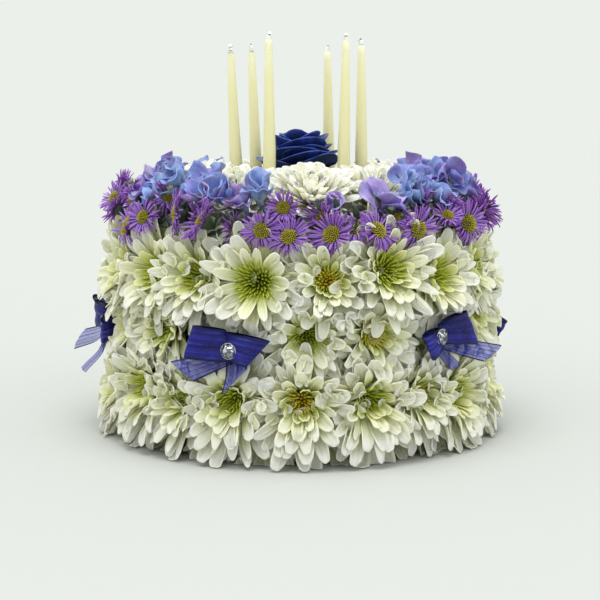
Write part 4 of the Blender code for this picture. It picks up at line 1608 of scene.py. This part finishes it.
class FLOWERCAKE_OT_candles(Operator):
    """Models the tapered candles, each with its waxed wick"""

    bl_idname = "flowercake.candles"
    bl_label = "Candles"

    def execute(self, context):
        settings = context.scene.flowercake_top
        foot, tip = settings.candle_radius, settings.candle_tip
        wax = wax_finish(tuple(settings.wax_colour))
        wick = wick_finish()
        low = CORE_HEIGHT + ROOT_GAP
        for index, drop in enumerate(CANDLE_DROPS):
            draw = random.Random(index)
            high = CANDLE_TOP - WICK_ROOM - drop
            line = []
            radii = []
            for ring in range(CANDLE_RINGS):
                share = ring / (CANDLE_RINGS - 1)
                taper = min(1.0, max(0.0, (share - TAPER_START) / (1.0 - TAPER_START)))
                line.append(candle_axis(index, low + (high - low) * share))
                radii.append((foot + (tip - foot) * taper) * (1.0 + draw.uniform(-0.012, 0.012)))
            for rise, share in CANDLE_TIP:
                line.append(candle_axis(index, high + rise))
                radii.append(tip * share)
            bunch = Bunch()
            tube = Tube(len(line), CANDLE_SIDES)
            bunch.add(tube, stem_rows(line, radii, CANDLE_SIDES), 0.5, 0.5, 0)
            line = []
            for step in range(len(WICK_RADII)):
                point = candle_axis(index, high + WICK_ROOT + WICK_LENGTH * step / (len(WICK_RADII) - 1))
                line.append(point + Vector((0.0003 * step, 0.0, 0.0)) * draw.uniform(-1, 1))
            tube = Tube(len(line), WICK_SIDES)
            bunch.add(tube, stem_rows(line, WICK_RADII, WICK_SIDES), 0.5, 0.5, 1)
            piece = bunch.piece(f"taper_candle_{index + 1}", [wax, wick])
            choose(piece)
            bpy.ops.object.shade_smooth_by_angle(angle=math.radians(50))
            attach(piece, "root")
            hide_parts(f"candle_{index + 1}")
        return {"FINISHED"}


# The folds of a bow, from the pin: the two ends of its near edge, the two of its far edge, and whether
# it is a loop that comes back behind itself. Each place is (to the right, up).
BOW_FOLDS = {
    "even": (
        ((-0.0010, 0.0116), (0.0012, -0.0068), (-0.0198, 0.0137), (-0.0256, -0.0047), True),
        ((-0.0030, 0.0104), (-0.0018, -0.0052), (0.0255, 0.0072), (0.0105, -0.0083), True),
        ((0.0020, -0.0008), (0.0020, -0.0070), (-0.0336, -0.0071), (-0.0202, -0.0180), False),
        ((0.0030, 0.0015), (-0.0030, 0.0015), (0.0097, -0.0097), (-0.0042, -0.0250), False),
    ),
    "turned": (
        ((0.0005, 0.0085), (-0.0015, -0.0042), (0.0174, 0.0137), (0.0268, -0.0068), True),
        ((0.0010, 0.0050), (0.0030, -0.0050), (-0.0152, 0.0015), (-0.0065, -0.0130), True),
        ((-0.0010, 0.0012), (0.0010, -0.0070), (0.0447, -0.0091), (0.0320, -0.0179), False),
        ((0.0040, 0.0015), (-0.0020, -0.0020), (0.0162, -0.0177), (0.0090, -0.0207), False),
    ),
    "hanging": (
        ((0.0005, 0.0085), (-0.0015, -0.0042), (0.0120, 0.0150), (0.0170, -0.0060), True),
        ((0.0010, 0.0050), (0.0030, -0.0050), (-0.0152, 0.0015), (-0.0065, -0.0130), True),
        ((-0.0010, 0.0012), (0.0010, -0.0080), (0.0360, -0.0105), (0.0465, -0.0255), False),
        ((0.0040, -0.0020), (-0.0020, -0.0060), (0.0300, -0.0336), (0.0200, -0.0360), False),
    ),
}
BOW_STEPS = 19
BOW_PARTS = 10
RIBBON_THICKNESS = 0.00012
JEWEL_RISE = 0.0062
# Painted glints of the rhinestone: each facet takes a shade from near black to white at random, standing in
# for its reflections
STONE_PAINTED_GLINTS = (
    (0.0, (0.015, 0.017, 0.025)),
    (0.45, (0.11, 0.12, 0.15)),
    (0.72, (0.45, 0.47, 0.53)),
    (1.0, (1.0, 1.0, 1.0)),
)


def ribbon_fold(bow, fold, order):
    """Rows of points across a fold of ribbon, and how far along the ribbon each row is."""
    azimuth, _, way, flare, level = bow
    near_left, near_right, far_left, far_right, loop = fold
    slope = math.tan(math.radians(flare))
    rows = []
    lengths = [0.0]
    for step in range(BOW_STEPS):
        turn = step / (BOW_STEPS - 1)
        if loop:
            reach = (1.0 - math.cos(2 * math.pi * turn)) / 2
            lift = 0.0034 * math.sin(2 * math.pi * turn) + 0.0026
        else:
            reach = turn
            lift = -0.0008 + 0.0014 * math.sin(2.5 * math.pi * turn)
        row = []
        for part in range(BOW_PARTS + 1):
            share = part / BOW_PARTS
            near = Vector(near_left).lerp(Vector(near_right), share)
            flat = near.lerp(Vector(far_left).lerp(Vector(far_right), share), reach)
            crease = 0.0015 * math.cos(share * math.pi * 5 + order) * (1.0 - 0.80 * reach)
            crease += 0.0012 * math.sin(share * math.pi) * reach
            away = BOW_FACE + lift + order * -0.0004 + flat.length * slope + crease
            row.append(outward(azimuth) * away + sideways(azimuth) * flat.x * way + UP * (level + flat.y))
        if rows:
            middle = BOW_PARTS // 2
            lengths.append(lengths[-1] + (row[middle] - rows[-1][middle]).length)
        rows.append(row)
    return rows, lengths


class FLOWERCAKE_OT_bows(Operator):
    """Models the sheer ribbon bows and their jewelled pins"""

    bl_idname = "flowercake.bows"
    bl_label = "Ribbon bows"

    def execute(self, context):
        settings = context.scene.flowercake_bows
        organza = organza_finish(tuple(settings.ribbon_colour))
        stone = Finish("Rhinestone", {"Metallic": 0.9, "Roughness": 0.08, "Coat Weight": 1.0})
        # Painted glints: two random values of each facet pick its shade
        facet, depth = stone.map_uv("facet")
        stone.colour(stone.ramp(facet * 0.9 + depth * 0.1, STONE_PAINTED_GLINTS))
        metal = Finish("Pin metal", {"Metallic": 1.0, "Roughness": 0.22})
        shine = metal.noise(metal.place(), 300.0)
        metal.colour(metal.mix(shine, (0.30, 0.31, 0.34), (0.50, 0.51, 0.55)))
        for number, bow in enumerate(BOWS):
            jewel = self.jewel(number, bow, stone.material, metal.material, settings.jewel_radius)
            self.ribbon(number, bow, organza, jewel, settings.ribbon_width)
        return {"FINISHED"}

    def ribbon(self, number, bow, organza, jewel, width):
        """Two loops and two tails of one ribbon, pinched under the pin."""
        vertices = []
        faces = []
        uvs = []
        folds = []
        total = 0.0
        across = BOW_PARTS + 1
        for order, fold in enumerate(BOW_FOLDS[bow[1]]):
            rows, lengths = ribbon_fold(bow, fold, order)
            loop = fold[4]
            span = lengths[-1] / 2 if loop else lengths[-1]
            start = len(vertices)
            for row in rows:
                vertices += row
            for step in range(len(rows) - 1):
                low, high = lengths[step], lengths[step + 1]
                for part in range(BOW_PARTS):
                    first = start + step * across + part
                    faces.append((first, first + 1, first + across + 1, first + across))
                    left, right = part / BOW_PARTS, (part + 1) / BOW_PARTS
                    for share, place in ((left, low), (right, low), (right, high), (left, high)):
                        uvs.append((share, total + place))
                        # How near the pin a corner is, for the painted shade where the ribbon creases there
                        crease = max(0.0, 1.0 - 2.2 * min(place, 2 * span - place) / span)
                        folds.append((float(loop), crease))
            total += lengths[-1]
        mesh = bpy.data.meshes.new(f"ribbon_bow_{number + 1}")
        mesh.from_pydata([tuple(vertex) for vertex in vertices], [], faces)
        for label, values in (("ribbon", uvs), ("fold", folds)):
            for corner, value in zip(mesh.uv_layers.new(name=label).data, values):
                corner.uv = value
        piece = linked(f"ribbon_bow_{number + 1}", mesh)
        mesh.materials.append(organza)
        choose(piece)
        bpy.ops.object.shade_smooth()
        apply_modifier(piece, "SUBSURF", levels=1, render_levels=1)
        apply_modifier(piece, "SOLIDIFY", thickness=RIBBON_THICKNESS, offset=0.0)
        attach(piece, "root")
        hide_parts(f"bow_{number + 1}")

    def jewel(self, number, bow, stone, metal, radius):
        """A faceted round stone in a thin metal cup, on the head of the pin."""
        azimuth, level = bow[0], bow[4]
        clear_choice()
        bpy.ops.mesh.primitive_cone_add(
            vertices=10, radius1=radius, radius2=radius * 0.50, depth=0.0024, location=(0.0, 0.0, 0.0020)
        )
        piece = bpy.context.object
        piece.name = f"jewel_pin_{number + 1}"
        bpy.ops.object.transform_apply(location=True, rotation=True, scale=True)
        edit_all()
        girdle = (0.0, 0.0, 0.0021)
        bpy.ops.mesh.bisect(plane_co=girdle, plane_no=(0.0, 0.0, 1.0))
        bpy.ops.transform.resize(value=(1.10, 1.10, 1.0), center_override=girdle)
        bpy.ops.transform.rotate(value=math.radians(18), orient_axis="Z", center_override=(0.0, 0.0, 0.0))
        bpy.ops.mesh.select_all(action="SELECT")
        bpy.ops.mesh.poke()
        bpy.ops.object.mode_set(mode="OBJECT")
        draw = random.Random(number)
        # Two random values for each facet, which pick its painted glint
        facets = piece.data.uv_layers.new(name="facet")
        for face in piece.data.polygons:
            tone = (draw.random(), draw.random())
            for corner in face.loop_indices:
                facets.data[corner].uv = tone
        piece.data.materials.append(stone)
        piece.data.materials.append(metal)
        bpy.ops.mesh.primitive_cylinder_add(
            vertices=24, radius=radius * 1.02, depth=0.0014, location=(0.0, 0.0, 0.0004)
        )
        rim = bpy.context.object
        bpy.ops.object.transform_apply(location=True, rotation=True, scale=True)
        rim.data.materials.append(metal)
        apply_modifier(rim, "BEVEL", width=0.0003, segments=2)
        choose(piece)
        rim.select_set(True)
        bpy.ops.object.join()
        turn = outward(azimuth).to_track_quat("Z", "Y").to_matrix().to_4x4()
        centre = place_at(azimuth, BOW_FACE + JEWEL_RISE, level)
        piece.data.transform(Matrix.Translation(centre) @ turn)
        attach(piece, "root")
        return piece


# The lamps of the studio: where each stands, how wide it is in degrees, and its setting
LAMPS = {
    "key": ((-0.9, -1.1, 1.5), 50.0, "key_light"),
    "fill": ((1.3, -0.9, 0.9), 60.0, "fill_light"),
    "top": ((0.0, -0.15, 1.4), 45.0, "top_light"),
}
FLOOR_SIZE = 24.0


class FLOWERCAKE_OT_stage(Operator):
    """Adds the pale floor, the soft lights and the camera"""

    bl_idname = "flowercake.stage"
    bl_label = "Stage"

    def execute(self, context):
        settings = context.scene.flowercake_stage
        clear_choice()
        bpy.ops.mesh.primitive_plane_add(size=FLOOR_SIZE, location=(0.0, 0.0, 0.0))
        floor = bpy.context.object
        floor.name = "floor"
        edit_all()
        bpy.ops.mesh.subdivide(number_cuts=3)
        bpy.ops.object.mode_set(mode="OBJECT")
        floor.data.materials.append(floor_finish(tuple(settings.floor_colour)))
        for name, (place, spread, strength) in LAMPS.items():
            light = bpy.data.lights.new(name, "SUN")
            light.angle = math.radians(spread)
            light.energy = getattr(settings, strength)
            lamp = linked(name, light)
            lamp.location = place
            lamp.rotation_euler = (-Vector(place)).to_track_quat("-Z", "Y").to_euler()
        world = bpy.data.worlds.new("studio")
        world.use_nodes = True
        background = world.node_tree.nodes["Background"]
        background.inputs["Color"].default_value = (*settings.surround, 1.0)
        background.inputs["Strength"].default_value = 1.0
        context.scene.world = world
        camera = bpy.data.cameras.new("camera")
        camera.lens = settings.camera_lens
        camera.sensor_width = 36.0
        camera.clip_start = 0.01
        holder = linked("camera", camera)
        holder.location = settings.camera_place
        holder.rotation_euler = (math.pi / 2 - settings.camera_dip, 0.0, 0.0)
        context.scene.camera = holder
        context.scene.view_settings.view_transform = "Standard"
        return {"FINISHED"}


class FLOWERCAKE_PT_panel(Panel):
    """Lists the steps that build the cake"""

    bl_label = "Flower cake"
    bl_idname = "FLOWERCAKE_PT_panel"
    bl_space_type = "VIEW_3D"
    bl_region_type = "UI"
    bl_category = "Flower cake"

    def draw(self, context):
        for step in STEPS:
            self.layout.operator(step.bl_idname)


STEPS = (
    FLOWERCAKE_OT_blanks,
    FLOWERCAKE_OT_foam,
    FLOWERCAKE_OT_side_mums,
    FLOWERCAKE_OT_top_mums,
    FLOWERCAKE_OT_asters,
    FLOWERCAKE_OT_delphiniums,
    FLOWERCAKE_OT_rose,
    FLOWERCAKE_OT_candles,
    FLOWERCAKE_OT_bows,
    FLOWERCAKE_OT_stage,
)

GROUPS = {
    "flowercake_mums": MumSettings,
    "flowercake_rim": RimSettings,
    "flowercake_top": TopSettings,
    "flowercake_bows": BowSettings,
    "flowercake_stage": StageSettings,
}


def register():
    for name, group in GROUPS.items():
        bpy.utils.register_class(group)
        setattr(bpy.types.Scene, name, PointerProperty(type=group))
    for step in STEPS:
        bpy.utils.register_class(step)
    bpy.utils.register_class(FLOWERCAKE_PT_panel)


def unregister():
    bpy.utils.unregister_class(FLOWERCAKE_PT_panel)
    for step in reversed(STEPS):
        bpy.utils.unregister_class(step)
    for name, group in GROUPS.items():
        delattr(bpy.types.Scene, name)
        bpy.utils.unregister_class(group)


def main():
    register()
    bpy.ops.flowercake.blanks()
    bpy.ops.flowercake.foam()
    bpy.ops.flowercake.side_mums()
    bpy.ops.flowercake.top_mums()
    bpy.ops.flowercake.asters()
    bpy.ops.flowercake.delphiniums()
    bpy.ops.flowercake.rose()
    bpy.ops.flowercake.candles()
    bpy.ops.flowercake.bows()
    bpy.ops.flowercake.stage()


if __name__ == "__main__":
    main()
